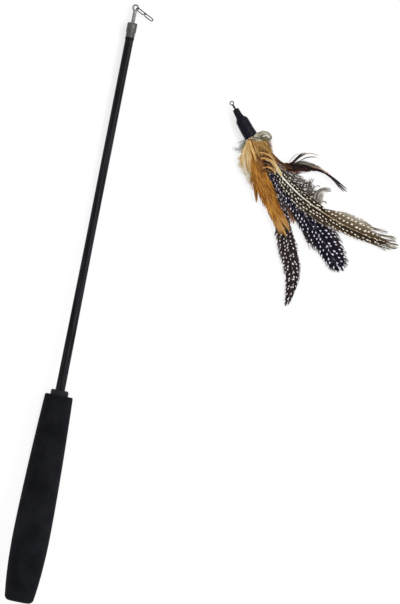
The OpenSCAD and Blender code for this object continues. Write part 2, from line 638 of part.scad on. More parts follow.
module guinea_dark_feather() {
    color([0.12, 0.12, 0.17]) on_lure() feather(
        feather_route(dark_len, dark_seat_share, dark_route_shares, route_steps + 1), dark_w,
        dark_left_shares, dark_right_shares, small_quill_r, vane_thick);
}

module guinea_slim_feather() {
    color([0.17, 0.14, 0.14]) on_lure() feather(
        feather_route(slim_len, slim_seat_share, slim_route_shares, route_steps), slim_w,
        slim_left_shares, slim_right_shares, small_quill_r, vane_thick);
}

module guinea_plume() {
    color([0.45, 0.43, 0.41]) on_lure() feather(
        feather_route(plume_len, plume_seat_share, plume_route_shares, route_steps), plume_w,
        plume_left_shares, plume_right_shares, small_quill_r, vane_thick);
}

module ginger_hackle_long() {
    color([0.7, 0.44, 0.12]) on_lure() feather(
        feather_route(ginger_len, ginger_seat_share, ginger_route_shares, route_steps), ginger_w,
        ginger_left_shares, ginger_right_shares, small_quill_r, vane_thick);
}

module ginger_hackle_short() {
    color([0.74, 0.5, 0.2]) on_lure() feather(
        feather_route(spike_len, spike_seat_share, spike_route_shares, route_steps), spike_w,
        spike_left_shares, spike_right_shares, small_quill_r, vane_thick);
}

module ginger_hackle_under() {
    color([0.5, 0.27, 0.1]) on_lure() feather(
        feather_route(under_len, under_seat_share, under_route_shares, route_steps), under_w,
        under_left_shares, under_right_shares, small_quill_r, vane_thick);
}

module cream_fluff() {
    color([0.85, 0.76, 0.52]) on_lure() feather(
        feather_route(fluff_len, fluff_seat_share, fluff_route_shares, route_steps), fluff_w,
        fluff_left_shares, fluff_right_shares, small_quill_r, vane_thick);
}

module barred_feather() {
    color([0.62, 0.42, 0.16]) on_lure() feather(
        feather_route(barred_len, barred_seat_share, barred_route_shares, route_steps), barred_w,
        barred_left_shares, barred_right_shares, small_quill_r, vane_thick);
}

module brown_hackle_upper() {
    color([0.2, 0.1, 0.07]) on_lure() feather(
        feather_route(upper_len, upper_seat_share, upper_route_shares, route_steps), upper_w,
        upper_left_shares, upper_right_shares, small_quill_r, vane_thick);
}

module brown_hackle_lower() {
    color([0.25, 0.13, 0.09]) on_lure() feather(
        feather_route(lower_len, lower_seat_share, lower_route_shares, route_steps), lower_w,
        lower_left_shares, lower_right_shares, small_quill_r, vane_thick);
}

module grey_curl() {
    color([0.66, 0.63, 0.55]) on_lure() feather(
        feather_route(curl_len, curl_seat_share, curl_route_shares, route_steps), curl_w,
        curl_left_shares, curl_right_shares, small_quill_r, vane_thick);
}

module grey_tuft() {
    color([0.62, 0.66, 0.66]) on_lure() feather(
        feather_route(tuft_len, tuft_seat_share, tuft_route_shares, route_steps), tuft_w,
        tuft_left_shares, tuft_right_shares, small_quill_r, vane_thick);
}

grip();
grip_collar();
rod();
rod_end_ring();
tip_ferrule();
swivel_eye();
swivel_washer();
snap_spine();
snap_arm_near();
snap_arm_far();
lure_eye();
lure_sleeve();
quill_binding();
guinea_wing_feather();
guinea_dark_feather();
guinea_slim_feather();
guinea_plume();
ginger_hackle_long();
ginger_hackle_short();
ginger_hackle_under();
cream_fluff();
barred_feather();
brown_hackle_upper();
brown_hackle_lower();
grey_curl();
grey_tuft();
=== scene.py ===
"""Cat teaser wand with its feather lure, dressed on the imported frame.

Lengths are worked out in millimetres and put into the meshes in metres. The wand keeps its CAD pieces
and gets their finishes here. The lure's feathers, sleeve and wires are built here as surfaces: a feather
is a tapering rib along a smooth route, with hundreds of separate barbs laid between the rib and the
outline of its vane.
"""
import math

import bpy
import numpy as np
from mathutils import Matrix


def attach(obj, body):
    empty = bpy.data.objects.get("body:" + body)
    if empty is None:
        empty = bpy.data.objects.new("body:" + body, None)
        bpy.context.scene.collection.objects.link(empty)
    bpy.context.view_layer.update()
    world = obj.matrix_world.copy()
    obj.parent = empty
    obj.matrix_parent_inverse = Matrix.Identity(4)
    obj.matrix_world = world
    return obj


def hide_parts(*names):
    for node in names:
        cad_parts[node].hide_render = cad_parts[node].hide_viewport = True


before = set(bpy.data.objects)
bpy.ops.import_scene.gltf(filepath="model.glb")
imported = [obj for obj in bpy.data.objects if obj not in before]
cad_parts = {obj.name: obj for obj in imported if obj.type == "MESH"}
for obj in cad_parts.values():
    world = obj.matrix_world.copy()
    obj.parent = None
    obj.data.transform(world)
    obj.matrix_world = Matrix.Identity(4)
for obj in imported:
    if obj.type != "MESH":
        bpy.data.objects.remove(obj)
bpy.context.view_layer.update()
MM = 0.001
UV_MM = 100.0                  # a UV map holds millimetres divided by this
ROUND = 2 * np.pi

# ---- where things lie -------------------------------------------------------------------------------

LURE_AT = (-3.568, 161.05)     # the sleeve's mouth
LURE_TURN = -49.0              # the way the sleeve points
FAN_TURN = 3.0                 # the feathers are turned back by this about the mouth
SLEEVE_UP = 5.4                # height of the sleeve's axis
SOCKET_R = 3.6                 # radius that the quills sit in
QUILL_IN = 12.7                # depth of the quills in the sleeve
PILE_H = 10.0                  # height that the routes' upward shares are taken of
LOWEST = 0.15                  # the lowest that a strand's line lies
RIB_LIFT = 0.12                # how far the ribs and barbs lie above the routes
EYE_AT = (-117.168, 246.8669, 3.7239)                  # the middle of the swivel's eye
WAND_SLOPE = 1.55534           # degrees by which the lying wand falls towards its tip
SNAP_TURN, SNAP_DROOP, SNAP_ROLL = 116.0, 3.0, 61.0    # how the snap hangs, in degrees
VIEW_TURN = 11.15              # the camera's roll, which leans the wand in the picture
MOUTH_SEEN = (251.25, 136.5)   # where the sleeve's mouth is in the picture, in its pixels
SEEN_MM = 0.822                # what one of its pixels stands for


def turned(points, axis, degrees):
    """Turns points about one axis through the origin by the right-hand rule."""
    a = math.radians(degrees)
    c, s = math.cos(a), math.sin(a)
    i, j = (axis + 1) % 3, (axis + 2) % 3
    out = np.array(points, float)
    out[..., i], out[..., j] = c * points[..., i] - s * points[..., j], s * points[..., i] + c * points[..., j]
    return out


def in_lure(points):
    """From the lure's own axes, X from the mouth to the tips, to where the lure lies."""
    return turned(points, 2, LURE_TURN) + (*LURE_AT, 0)


def in_snap(points):
    """From the snap drawn flat with its length along X, to where it hangs in the eye."""
    p = turned(turned(points, 0, SNAP_ROLL), 1, SNAP_DROOP)
    return turned(turned(p, 2, 90 - SNAP_TURN), 0, -WAND_SLOPE) + EYE_AT


# ---- surfaces ---------------------------------------------------------------------------------------

def unit(v):
    """Vectors brought to a length of 1."""
    return v / np.maximum(np.linalg.norm(v, axis=-1, keepdims=True), 1e-9)


def smooth_line(points, steps):
    """A cubic through each pair of points, with slopes taken from the neighbours."""
    p = np.asarray(points, float)
    q = np.vstack([p[:1], p, p[-1:]])
    a, b, c, d = q[:-3, None], q[1:-2, None], q[2:-1, None], q[3:, None]
    t = (np.arange(steps) / steps)[None, :, None]
    out = 0.5 * (2 * b + (c - a) * t + (2 * a - 5 * b + 4 * c - d) * t**2 + (3 * b - a - 3 * c + d) * t**3)
    return np.vstack([out.reshape(-1, p.shape[1]), p[-1:]])


def tube_faces(n, m, k):
    """Faces of n tubes, each of m rings of k points: four-sided walls, and a cap at each end."""
    index = np.arange(n * m * k).reshape(n, m, k)
    a, b = index[:, :-1], index[:, 1:]
    walls = np.stack([a, np.roll(a, -1, 2), np.roll(b, -1, 2), b], -1).reshape(-1, 4)
    return [walls, index[:, 0, ::-1].reshape(-1, k), index[:, -1].reshape(-1, k)]


def hoop_faces(n, k):
    """Four-sided faces of n rings of k points that close into one hoop."""
    a = np.arange(n * k).reshape(n, k)
    b = np.roll(a, -1, 0)
    return [np.stack([a, b, np.roll(b, -1, 1), np.roll(a, -1, 1)], -1).reshape(-1, 4)]


def part(points, faces, uv, tone=0.5, coat=0, smooth=True):
    """What make() takes: points, their faces, places on the vane in mm, tones, and a finish's number."""
    points = points.reshape(-1, 3)
    return dict(verts=points, faces=faces, uv=uv.reshape(-1, 2) / UV_MM, tone=np.broadcast_to(tone, len(points)),
                coat=coat, smooth=smooth)


def tube(line, radius, sides, squash=1.0, along=None, coat=0):
    """A round profile carried along a line. The profile's axes are square to the line's direction."""
    line = np.asarray(line, float)
    ahead = unit(np.gradient(line, axis=0))
    helper = np.where(np.abs(ahead[:, 2:]) < 0.9, [[0, 0, 1.0]], [[0, 1.0, 0]])
    across = unit(np.cross(helper, ahead))
    up = np.cross(ahead, across)
    turn = np.linspace(0, ROUND, sides, endpoint=False)[None, :, None]
    r = np.broadcast_to(np.asarray(radius, float), len(line))[:, None, None]
    ring = line[:, None] + r * (np.cos(turn) * across[:, None] + squash * np.sin(turn) * up[:, None])
    s = np.arange(len(line)) * 1.0 if along is None else along
    uv = np.stack([np.repeat(s, sides), np.tile(np.arange(sides) / sides, len(line))], -1)
    return part(ring, tube_faces(1, len(line), sides), uv, coat=coat)


def blades(lines, half, rise, uv, tone, coat):
    """Closed three-sided strands: at each point of each line a low roof, half wide to both sides.

    The places on the vane are moved out by the same half width, so a pattern runs on from strand to strand.
    """
    half = half[..., None]
    ahead = unit(np.gradient(lines, axis=1))
    across = unit(np.cross([0, 0, 1.0], ahead))
    up = np.cross(ahead, across)
    ring = np.stack([lines + across * half, lines + up * rise[..., None], lines - across * half], 2)
    step = unit(np.gradient(uv, axis=1))
    aside = np.stack([-step[..., 1], step[..., 0]], -1) * half
    n, m = lines.shape[:2]
    return part(ring, tube_faces(n, m, 3), np.stack([uv + aside, uv, uv - aside], 2), np.repeat(tone, m * 3), coat,
                smooth=False)


def lathe(profile, sides):
    """A closed outline of (radius, place) pairs, run round the X axis: the piece is a ring in section."""
    turn = np.linspace(0, ROUND, sides, endpoint=False)[:, None]
    r, x = profile[:, 0][None], profile[:, 1][None]
    grid = np.stack([x + 0 * turn, r * np.cos(turn), r * np.sin(turn)], -1)
    return part(grid, hoop_faces(*grid.shape[:2]), np.stack([x + 0 * turn, turn + 0 * r], -1))


def placed(name, data):
    """A new object of its data, linked into the scene."""
    thing = bpy.data.objects.new(name, data)
    bpy.context.scene.collection.objects.link(thing)
    return thing


def make(name, parts, coats, body, *nodes, slot):
    """Puts parts into one mesh with its finishes, and says what it rides and stands for. The slot is not used."""
    first, loops, totals, coat, smooth = 0, [], [], [], []
    parts = [p for some in parts for p in (some if isinstance(some, list) else [some])]
    for p in parts:
        for f in p["faces"]:
            loops.append((f + first).ravel())
            totals.append(np.full(len(f), f.shape[1]))
            coat.append(np.full(len(f), p["coat"]))
            smooth.append(np.full(len(f), p["smooth"]))
        first += len(p["verts"])
    loops, totals = np.concatenate(loops), np.concatenate(totals)
    uv = np.vstack([p["uv"] for p in parts])
    mesh = bpy.data.meshes.new(name)
    mesh.vertices.add(first)
    mesh.vertices.foreach_set("co", (np.vstack([p["verts"] for p in parts]) * MM).ravel())
    mesh.loops.add(len(loops))
    mesh.loops.foreach_set("vertex_index", loops.astype(np.int32))
    mesh.polygons.add(len(totals))
    mesh.polygons.foreach_set("loop_start", (np.cumsum(totals) - totals).astype(np.int32))
    mesh.polygons.foreach_set("material_index", np.concatenate(coat).astype(np.int32))
    mesh.polygons.foreach_set("use_smooth", np.concatenate(smooth))
    mesh.update(calc_edges=True)
    layer = mesh.uv_layers.new(name="vane")
    layer.uv.foreach_set("vector", uv[loops].astype(np.float32).ravel())
    mesh.attributes.new("tone", "FLOAT", "POINT").data.foreach_set(
        "value", np.concatenate([p["tone"] for p in parts]).astype(np.float32))
    mesh.validate()
    for c in coats:
        mesh.materials.append(c)
    piece = placed(name, mesh)
    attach(piece, body)
    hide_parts(*nodes)


# ---- finishes ---------------------------------------------------------------------------------------

def colour(tint):
    """A screen colour of three parts of 0 to 255 as the shaders' linear one. Anything else stays as it is."""
    if not isinstance(tint, tuple) or len(tint) != 3:
        return tint
    c = np.array(tint) / 255
    return (*np.where(c <= 0.04045, c / 12.92, ((c + 0.055) / 1.055) ** 2.4).tolist(), 1.0)


class Tree:
    """A node tree and short ways to add to it."""

    def __init__(self, tree):
        self.tree = tree

    def put(self, socket, value):
        """Links a value that another node gives, or sets a plain one."""
        if isinstance(value, bpy.types.NodeSocket):
            self.tree.links.new(value, socket)
        else:
            socket.default_value = value

    def node(self, kind, inputs=(), **settings):
        """Adds a node with its settings and what its inputs get."""
        n = self.tree.nodes.new("ShaderNode" + kind)
        for key, value in settings.items():
            setattr(n, key, value)
        for key, value in dict(inputs).items():
            self.put(n.inputs[key], value)
        return n

    def sum(self, op, a, b=0.0, c=0.0):
        """The named operation on up to three values."""
        return self.node("Math", {0: a, 1: b, 2: c}, operation=op).outputs[0]

    def times(self, a, b):
        """One value by the other."""
        return self.sum("MULTIPLY", a, b)

    def line(self, a, slope, base):
        """A value by the slope, plus the base."""
        return self.sum("MULTIPLY_ADD", a, slope, base)

    def spread(self, value, low, high, to_low=0.0, to_high=1.0, kind="SMOOTHSTEP"):
        """Carries a value from one range over to another, and holds it at both ends."""
        return self.node("MapRange", {"Value": value, "From Min": low, "From Max": high, "To Min": to_low,
                                      "To Max": to_high}, interpolation_type=kind).outputs[0]

    def join(self, x, y, z=0.0):
        """Three values as one vector."""
        return self.node("CombineXYZ", {0: x, 1: y, 2: z}).outputs[0]

    def split(self, vector):
        """The three values of a vector."""
        return self.node("SeparateXYZ", {0: vector}).outputs

    def mix(self, share, a, b):
        """From the first colour to the second by the share."""
        return self.node("Mix", {0: share, 6: colour(a), 7: colour(b)}, data_type="RGBA").outputs[2]

    def ramp(self, value, *stops):
        """A colour between those whose places are on both sides of the value."""
        n = self.node("ValToRGB", {0: value})
        e = n.color_ramp.elements
        for place, tint in stops[1:-1]:
            e.new(place)
        for item, (place, tint) in zip(e, stops):
            item.position, item.color = place, colour(tint)
        return n.outputs[0]

    def noise(self, where, scale, detail=3.0, rough=0.5, stretch=None, turn=(0, 0, 0)):
        """Cloudy noise from 0 to 1, drawn out by the stretch along turned axes."""
        if stretch:
            where = self.node("Mapping", {"Vector": where, "Scale": stretch, "Rotation": turn}).outputs[0]
        return self.node("TexNoise", {"Vector": where, "Scale": scale, "Detail": detail,
                                      "Roughness": rough}).outputs[0]


class Finish(Tree):
    """A material, its shader's plain values, and what its patterns are laid on."""

    def __init__(self, name, rough=0.6, specular=0.5, metallic=0.0, sheen=0.0):
        self.material = bpy.data.materials.new(name)
        self.material.use_nodes = True
        super().__init__(self.material.node_tree)
        self.shader = self.tree.nodes["Principled BSDF"].inputs
        for key, value in (("Roughness", rough), ("Specular IOR Level", specular), ("Metallic", metallic),
                           ("Sheen Weight", sheen)):
            self.shader[key].default_value = value

    def place(self):
        """Where a point lies on its piece, in metres."""
        return self.node("TexCoord").outputs["Object"]

    def vane(self):
        """Along the rib and out from it, in millimetres, and the barb's own tone."""
        xyz = self.split(self.node("UVMap", uv_map="vane").outputs[0])
        tone = self.node("Attribute", attribute_name="tone").outputs["Fac"]
        return self.times(xyz[0], UV_MM), self.times(xyz[1], UV_MM), tone

    def bump(self, height, strength, distance):
        """Tilts the surface as a relief of this height would."""
        n = self.node("Bump", {"Height": height, "Strength": strength, "Distance": distance})
        self.put(self.shader["Normal"], n.outputs[0])

    def paint(self, tint):
        """Gives the shader its colour, and hands over the material."""
        self.put(self.shader["Base Color"], tint)
        return self.material


def foam_finish():
    """Matt closed-cell foam: fine pores painted darker as shade in their hollows, a faint bloom and a few rubbed
    patches.
    """
    f = Finish("grip_foam", rough=0.9, specular=0.08, sheen=0.02)
    at = f.place()
    pores = f.node("TexVoronoi", {"Vector": at, "Scale": 2600.0}).outputs["Distance"]
    bloom = f.noise(at, 60.0, 4.0, 0.6)
    rub = f.noise(at, 1.0, 3.0, 0.6, stretch=(60, 14, 60))
    tint = f.mix(f.spread(bloom, 0.35, 0.7), (16, 17, 22), (27, 28, 33))
    tint = f.mix(f.spread(rub, 0.62, 0.8, 0.0, 0.5), tint, (38, 39, 44))
    f.bump(pores, 0.35, 0.0003)
    # the pores are painted darker, as shade in their hollows
    return f.paint(f.mix(f.spread(pores, 0.0, 0.5, 0.55, 0.0), tint, (12, 12, 14)))


def rubber_finish(name, dark, light, rough):
    """Moulded rubber: a little cloudy, with a fine grain."""
    f = Finish(name, rough=rough, specular=0.12)
    at = f.place()
    f.bump(f.noise(at, 1800.0, 2.0), 0.25, 0.0001)
    return f.paint(f.mix(f.spread(f.noise(at, 120.0, 4.0), 0.3, 0.7), dark, light))


def blank_finish():
    """A satin black rod blank, with lighter lengthwise streaks painted in as reflections of the lamps, and hoops from
    its winding.
    """
    f = Finish("rod_blank", specular=0.1)
    at = f.place()
    sheen_streak = f.noise(at, 1.0, 3.0, 0.6, stretch=(900, 9, 900))
    hoop = f.noise(at, 1.0, 2.0, 0.5, stretch=(20, 1500, 20))
    # the lighter streaks are painted reflections of the lamps, running along the rod
    tint = f.mix(f.spread(sheen_streak, 0.4, 0.7), (9, 9, 14), (46, 46, 53))
    f.put(f.shader["Roughness"], f.spread(sheen_streak, 0.3, 0.7, 0.28, 0.42))
    f.bump(hoop, 0.2, 0.00006)
    return f.paint(f.mix(f.spread(hoop, 0.45, 0.75, 0.0, 0.35), tint, (8, 8, 11)))


def metal_finish(name, dark, light, rough, stretch, dull=0.0):
    """Plated metal: drawn or turned marks, cloudy dulling and grime in patches."""
    f = Finish(name, metallic=1.0 - dull)
    at = f.place()
    marks = f.noise(at, 1.0, 3.0, 0.6, stretch=stretch)
    cloud = f.noise(at, 500.0, 4.0, 0.6)
    tint = f.mix(f.spread(marks, 0.3, 0.7), dark, light)
    f.put(f.shader["Roughness"], f.spread(cloud, 0.3, 0.7, rough * 0.8, min(1.0, rough * 1.3)))
    f.bump(marks, 0.15, 0.00004)
    return f.paint(f.mix(f.spread(cloud, 0.55, 0.8, 0.0, 0.5), tint, dark))


def shrink_finish():
    """Shrink tube: blue-black, satin, with creases that run along it; their crests are painted lighter and greyer as
    sheen.
    """
    f = Finish("shrink_tube", rough=0.4, specular=0.14)
    crease_sheen = f.noise(f.place(), 1.0, 4.0, 0.6, stretch=(700, 160, 500), turn=(0, 0, math.radians(-LURE_TURN)))
    f.bump(crease_sheen, 0.6, 0.0005)
    # the crests are painted lighter as sheen, and the hollows darker as shade
    return f.paint(f.mix(f.spread(crease_sheen, 0.4, 0.75), (6, 6, 15), (25, 24, 42)))


SIDES_APART = 16.0             # the spot rows of a vane's two sides are numbered so far apart


def spotted_finish(name, near, far, edge, spot, width, length, pitch, row, size, lean, long, wobble, dim=0.0,
                   streaks=0.0, flecks=0.0, root=None, root_end=60.0):
    """Guinea fowl vane: a dark ground with rows of pale spots that run along the rib, row against row.

    The spots are the cells of a slightly wandering grid. Its pitch, its rows and the spots grow along the
    feather from the first number of each pair to the second. A spot is longer than wide and lies along the
    barbs, which lean away from the rib. Every spot lies in a black ring. The ground goes from one colour at
    the rib through a second to a third at the edge of the vane.
    """
    f = Finish("feather_" + name, rough=0.75, specular=0.12, sheen=0.03)
    along, out, tone = f.vane()
    reach = f.sum("ABSOLUTE", out)
    grow = (pitch[1] - pitch[0]) / (length * pitch[0])
    count = f.sum("DIVIDE", f.sum("LOGARITHM", f.line(along, grow, 1.0), math.e), grow * pitch[0])
    rows = f.sum("DIVIDE", reach, f.line(along, (row[1] - row[0]) / length, row[0]))
    rows = f.line(f.sum("GREATER_THAN", out, 0.0), SIDES_APART, rows)
    cell = f.join(f.line(rows, 0.5, count), f.sum("ADD", rows, 0.25))
    grid = f.node("TexVoronoi", {"Vector": cell, "Scale": 1.0, "Randomness": wobble}, voronoi_dimensions="2D").outputs
    pick = f.split(grid["Color"])
    big = f.line(pick[0], 0.08, f.spread(along, 0.0, length, size[0] - 0.04, size[1] - 0.04))
    off = f.split(f.node("VectorMath", {0: cell, 1: grid["Position"]}, operation="SUBTRACT").outputs[0])
    ahead, beside = f.line(off[1], -0.5, off[0]), off[1]
    c, s, stretch = math.cos(math.radians(lean)), math.sin(math.radians(lean)), math.sqrt(long)
    u = f.line(ahead, c / stretch, f.times(beside, s / stretch))
    v = f.line(ahead, -s * stretch, f.times(beside, c * stretch))
    away = f.sum("SUBTRACT", big, f.sum("POWER", f.sum("ADD", f.times(u, u), f.times(v, v)), 0.5))
    spots = f.times(f.spread(away, -0.04, 0.04), f.spread(pick[1], 0.0, 0.5, 1.0 - dim, 1.0))
    ground = f.ramp(f.sum("DIVIDE", reach, width), (0.0, near), (0.5, far), (0.95, edge))
    if root:
        ground = f.mix(f.spread(along, root_end * 0.5, root_end, 1.0, 0.0), ground, root)
    mottle = f.noise(f.join(along, out), 0.8, 3.0, 0.6)
    ground = f.mix(f.spread(mottle, 0.4, 0.65, 0.0, 0.6), ground, near)
    ground = f.mix(f.times(tone, 0.4), ground, (0, 0, 0))
    ground = f.mix(f.spread(away, -0.22, -0.05, 0.0, 0.6), ground, tuple(c * 0.3 for c in near))
    if flecks:
        speck = f.noise(f.join(f.times(along, 0.6), out), 1.1, 2.0, 0.6)
        spots = f.sum("MAXIMUM", spots, f.times(f.spread(speck, 0.56, 0.64, 0.0, flecks),
                                                f.spread(along, length * 0.35, length * 0.6, 1.0, 0.0)))
    if streaks:
        lines = f.noise(f.join(f.times(along, 0.16), f.times(out, 1.4)), 1.0, 3.0, 0.7)
        near_rib = f.spread(reach, 0.5, 4.5, 1.0, 0.0)
        spots = f.sum("MAXIMUM", spots, f.times(f.spread(lines, 0.58, 0.68, 0.0, streaks), near_rib))
    return f.paint(f.mix(spots, ground, spot))


def hackle_finish(name, dark, mid, light, root=None, root_end=0.0, tip=None, tip_from=0.0):
    """Cock hackle: each barb has its own shade between dark and light, and shades run along the vane."""
    f = Finish("feather_" + name, specular=0.2, sheen=0.05)
    along, out, tone = f.vane()
    shade = f.noise(f.join(f.times(along, 0.09), f.times(out, 0.9)), 1.0, 3.0, 0.6)
    value = f.sum("ADD", f.times(tone, 0.45), f.spread(shade, 0.34, 0.66, 0.1, 0.55))
    tint = f.ramp(value, (0.25, dark), (0.52, mid), (0.85, light))
    if root:
        tint = f.mix(f.spread(along, root_end * 0.3, root_end, 1.0, 0.0), tint, root)
    if tip:
        tint = f.mix(f.spread(along, tip_from, tip_from + 12.0), tint, tip)
    return f.paint(tint)


BAR_PITCH = 5.5                # from one dark bar to the next, in mm


def barred_finish():
    """Golden feather with dark bars: the bars are arcs, because they run back along the barbs."""
    f = Finish("feather_barred", specular=0.2, sheen=0.05)
    along, out, tone = f.vane()
    wander = f.noise(f.join(along, out), 0.22, 2.0)
    phase = f.sum("ADD", f.sum("SUBTRACT", along, f.times(out, 1.2)), f.times(wander, 6.0))
    wave = f.sum("SINE", f.times(phase, 2 * math.pi / BAR_PITCH))
    bars = f.times(f.spread(wave, -0.2, 0.7), f.spread(along, 9.0, 17.0))
    bars = f.times(bars, f.spread(out, 0.0, 2.5, 1.0, 0.0))
    gold = f.ramp(tone, (0.0, (150, 98, 40)), (0.5, (192, 138, 64)), (1.0, (224, 184, 116)))
    for value, low, high, to_low, to_high, tint in (
            (out, 1.0, 5.0, 0.0, 0.8, (184, 116, 48)), (out, 5.0, 7.5, 0.0, 0.8, (116, 56, 28)),
            (out, -5.5, -2.0, 0.6, 0.0, (124, 70, 34)), (along, 5.0, 13.0, 0.75, 0.0, (152, 114, 66))):
        gold = f.mix(f.spread(value, low, high, to_low, to_high), gold, tint)
    return f.paint(f.mix(bars, gold, f.mix(tone, (58, 32, 20), (104, 70, 46))))


def rib_finish(name, pale, dark, dark_from, dark_to):
    """The rib of a feather: horn that darkens towards the tip, with a faint lengthwise grain."""
    f = Finish("rib_" + name, rough=0.35)
    along, out, _ = f.vane()
    grain = f.noise(f.join(f.times(along, 0.2), f.times(out, 8.0)), 1.0, 2.0)
    tint = f.mix(f.spread(along, dark_from, dark_to), pale, dark)
    return f.paint(f.mix(f.spread(grain, 0.3, 0.7, 0.0, 0.35), tint, f.mix(0.5, tint, (90, 70, 50))))


# ---- feathers ---------------------------------------------------------------------------------------

def lay_route(length, seat, shares):
    """The rib's line: straight in the sleeve, then through its points. Runs count from the mouth."""
    side, up = seat[0] * SOCKET_R, SLEEVE_UP + seat[1] * SOCKET_R
    free = turned(np.array(shares) * (length, length, PILE_H), 2, FAN_TURN)
    line = smooth_line(np.vstack([[(0, side, up)], free]), 16)
    line = np.vstack([[(-QUILL_IN, side, up), (-QUILL_IN / 2, side, up)], line])
    run = np.concatenate([[0], np.cumsum(np.linalg.norm(np.diff(line, axis=0), axis=1))])
    ahead = unit(np.gradient(line[:, :2], axis=0))
    return dict(line=line, run=run - run[2], ahead=ahead, length=run[-1] - run[2])


def on_route(route, s, side, up):
    """Points at a run along the rib, out to the left of it, and above it."""
    run = route["run"]
    at = np.stack([np.interp(s, run, route["line"][:, k]) for k in range(3)], -1)
    ahead = unit(np.stack([np.interp(s, run, route["ahead"][:, k]) for k in range(2)], -1))
    over = np.maximum(s - run[-1], 0)
    at[..., 0] += ahead[..., 0] * over - ahead[..., 1] * side
    at[..., 1] += ahead[..., 1] * over + ahead[..., 0] * side
    at[..., 2] += up
    return at


RIB_END = 0.95                 # the share of a rib at which its last barbs are rooted
WEB_THICK = 0.12               # of the closed layer under the barbs
BARB_POINTS = 8                # along a barb
LOCK_POINTS = 26               # along a strand of a lock
RIB_POINTS = 70
ANY_PHASE = 6.28               # random phases are drawn from 0 to this


def root_of(tip, reach, w, sweep, length):
    """Where on the rib a barb is rooted: behind its tip by its reach and the sweep at that share."""
    return np.clip(tip - reach * np.tan(np.radians(np.interp(w, [0, 1], sweep))), 0.5, RIB_END * length)


def web(route, width, table, side, share, sweep=(35, 60), bend=1.35, drop=0.07, coat=0):
    """The closed layer under the barbs, where they hook into each other.

    It is the surface that the barbs' own lines would sweep, out to a share of their length, given a
    thickness: each section runs out along one face and back along the other.
    """
    shares, reaches = np.array(table, float).T
    w = np.linspace(shares[0], shares[-1], 90)[:, None]
    t = np.linspace(0, share, BARB_POINTS)[None]
    reach = width * np.interp(w, shares, reaches)
    tip = w * route["length"]
    root = root_of(tip, reach, w, sweep, route["length"])
    s = root + (tip - root) * t**bend
    d = reach * t
    top = in_lure(on_route(route, s, side * d, -drop * d))
    under = top - (0, 0, WEB_THICK)
    first, second = (under, top) if side > 0 else (top, under)
    ring = np.concatenate([first, second[:, ::-1]], 1)
    uv = np.stack([s, side * d], -1)
    return part(ring, tube_faces(1, *ring.shape[:2]), np.concatenate([uv, uv[:, ::-1]], 1), 0.35, coat)


def barbs(route, width, table, side, seed, pitch=0.45, sweep=(35, 60), bend=1.35, cover=(1.5, 1.45, 0.9),
          ragged=0.08, group=6.0, shift=0.6, pull=0.15, wave=0.0, drop=0.07, lift=RIB_LIFT, loft=0.0, extra=0.5,
          coat=0):
    """Barbs on one side of the rib, each from its root on the rib to the outline of the vane.

    Their tips are spread evenly along the outline, and each root lies behind its tip by the sweep. A barb
    bends forward as a power of its own share. Barbs hang together in groups, whose tips draw together and
    shift a little, so that the vane parts between them. The width follows the distance to the next barb.
    """
    rng = np.random.default_rng(seed)
    shares, reaches = np.array(table, float).T
    length = route["length"]
    n = max(6, int((shares[-1] - shares[0]) * length / pitch))
    w = shares[0] + (shares[-1] - shares[0]) * (np.arange(n) + 0.5 + rng.uniform(-0.3, 0.3, n)) / n
    reach = (extra + width * np.interp(w, shares, reaches)) * (1 - ragged * rng.random(n) ** 2)
    tip = w * length
    root = np.maximum.accumulate(root_of(tip, reach, w, sweep, length))
    edges = np.cumsum(rng.uniform(0.5, 1.6, int(length / group) + 4) * group)
    which = np.searchsorted(edges, tip)
    middle = np.array([tip[which == g].mean() if (which == g).any() else 0 for g in range(len(edges) + 1)])
    nudge = rng.normal(0, shift, len(middle))
    tip = tip + (middle[which] - tip) * pull + nudge[which]
    reach = reach * (1 - np.abs(rng.normal(0, ragged * 0.4, len(middle))))[which]
    t = np.linspace(0, 1, BARB_POINTS)[None]
    phase = rng.random((n, 1)) * ANY_PHASE
    sway = wave * np.sin(5.5 * t + phase) * t
    s = root[:, None] + (tip - root)[:, None] * t**bend + sway * 0.8
    d = reach[:, None] * t + sway * 0.6 * np.cos(phase)
    up = lift - drop * d + rng.normal(0, 0.12, n)[:, None] * t + np.abs(wave) * 0.4 * np.sin(4 * t + 2 * phase) * t
    up = up + loft * rng.uniform(-0.5, 1, n)[:, None] * d
    lines = in_lure(on_route(route, s, side * d, up))
    lines[..., 2] = np.maximum(lines[..., 2], LOWEST)
    ahead = unit(np.gradient(lines, axis=1))
    beside = np.gradient(lines, axis=0)
    gap = np.linalg.norm(beside - (beside * ahead).sum(-1, keepdims=True) * ahead, axis=-1)
    half = 0.5 * np.interp(t, [0, 0.65, 1], cover) * np.clip(gap, 0.4 * pitch, 1.25 * pitch)
    half[:, -1] *= 0.4
    shade = np.clip(rng.uniform(0, 1, n) * 0.75 + 0.25 * rng.random(len(middle))[which], 0, 1)
    return blades(lines, half, 0.35 * half + 0.03, np.stack([s, side * d], -1), shade, coat)


def rib(route, thick, fine, end=RIB_END):
    """The rib: round in the sleeve, tapering evenly to its end."""
    s = np.concatenate([[-QUILL_IN, -QUILL_IN / 2], np.linspace(0, end * route["length"], RIB_POINTS)])
    r = np.interp(s, [0, end * route["length"]], [thick, fine])
    up = np.where(s > 3, RIB_LIFT, 0.0)
    return tube(in_lure(on_route(route, s, 0 * s, up)), r, 8, 0.9, along=s, coat=1)


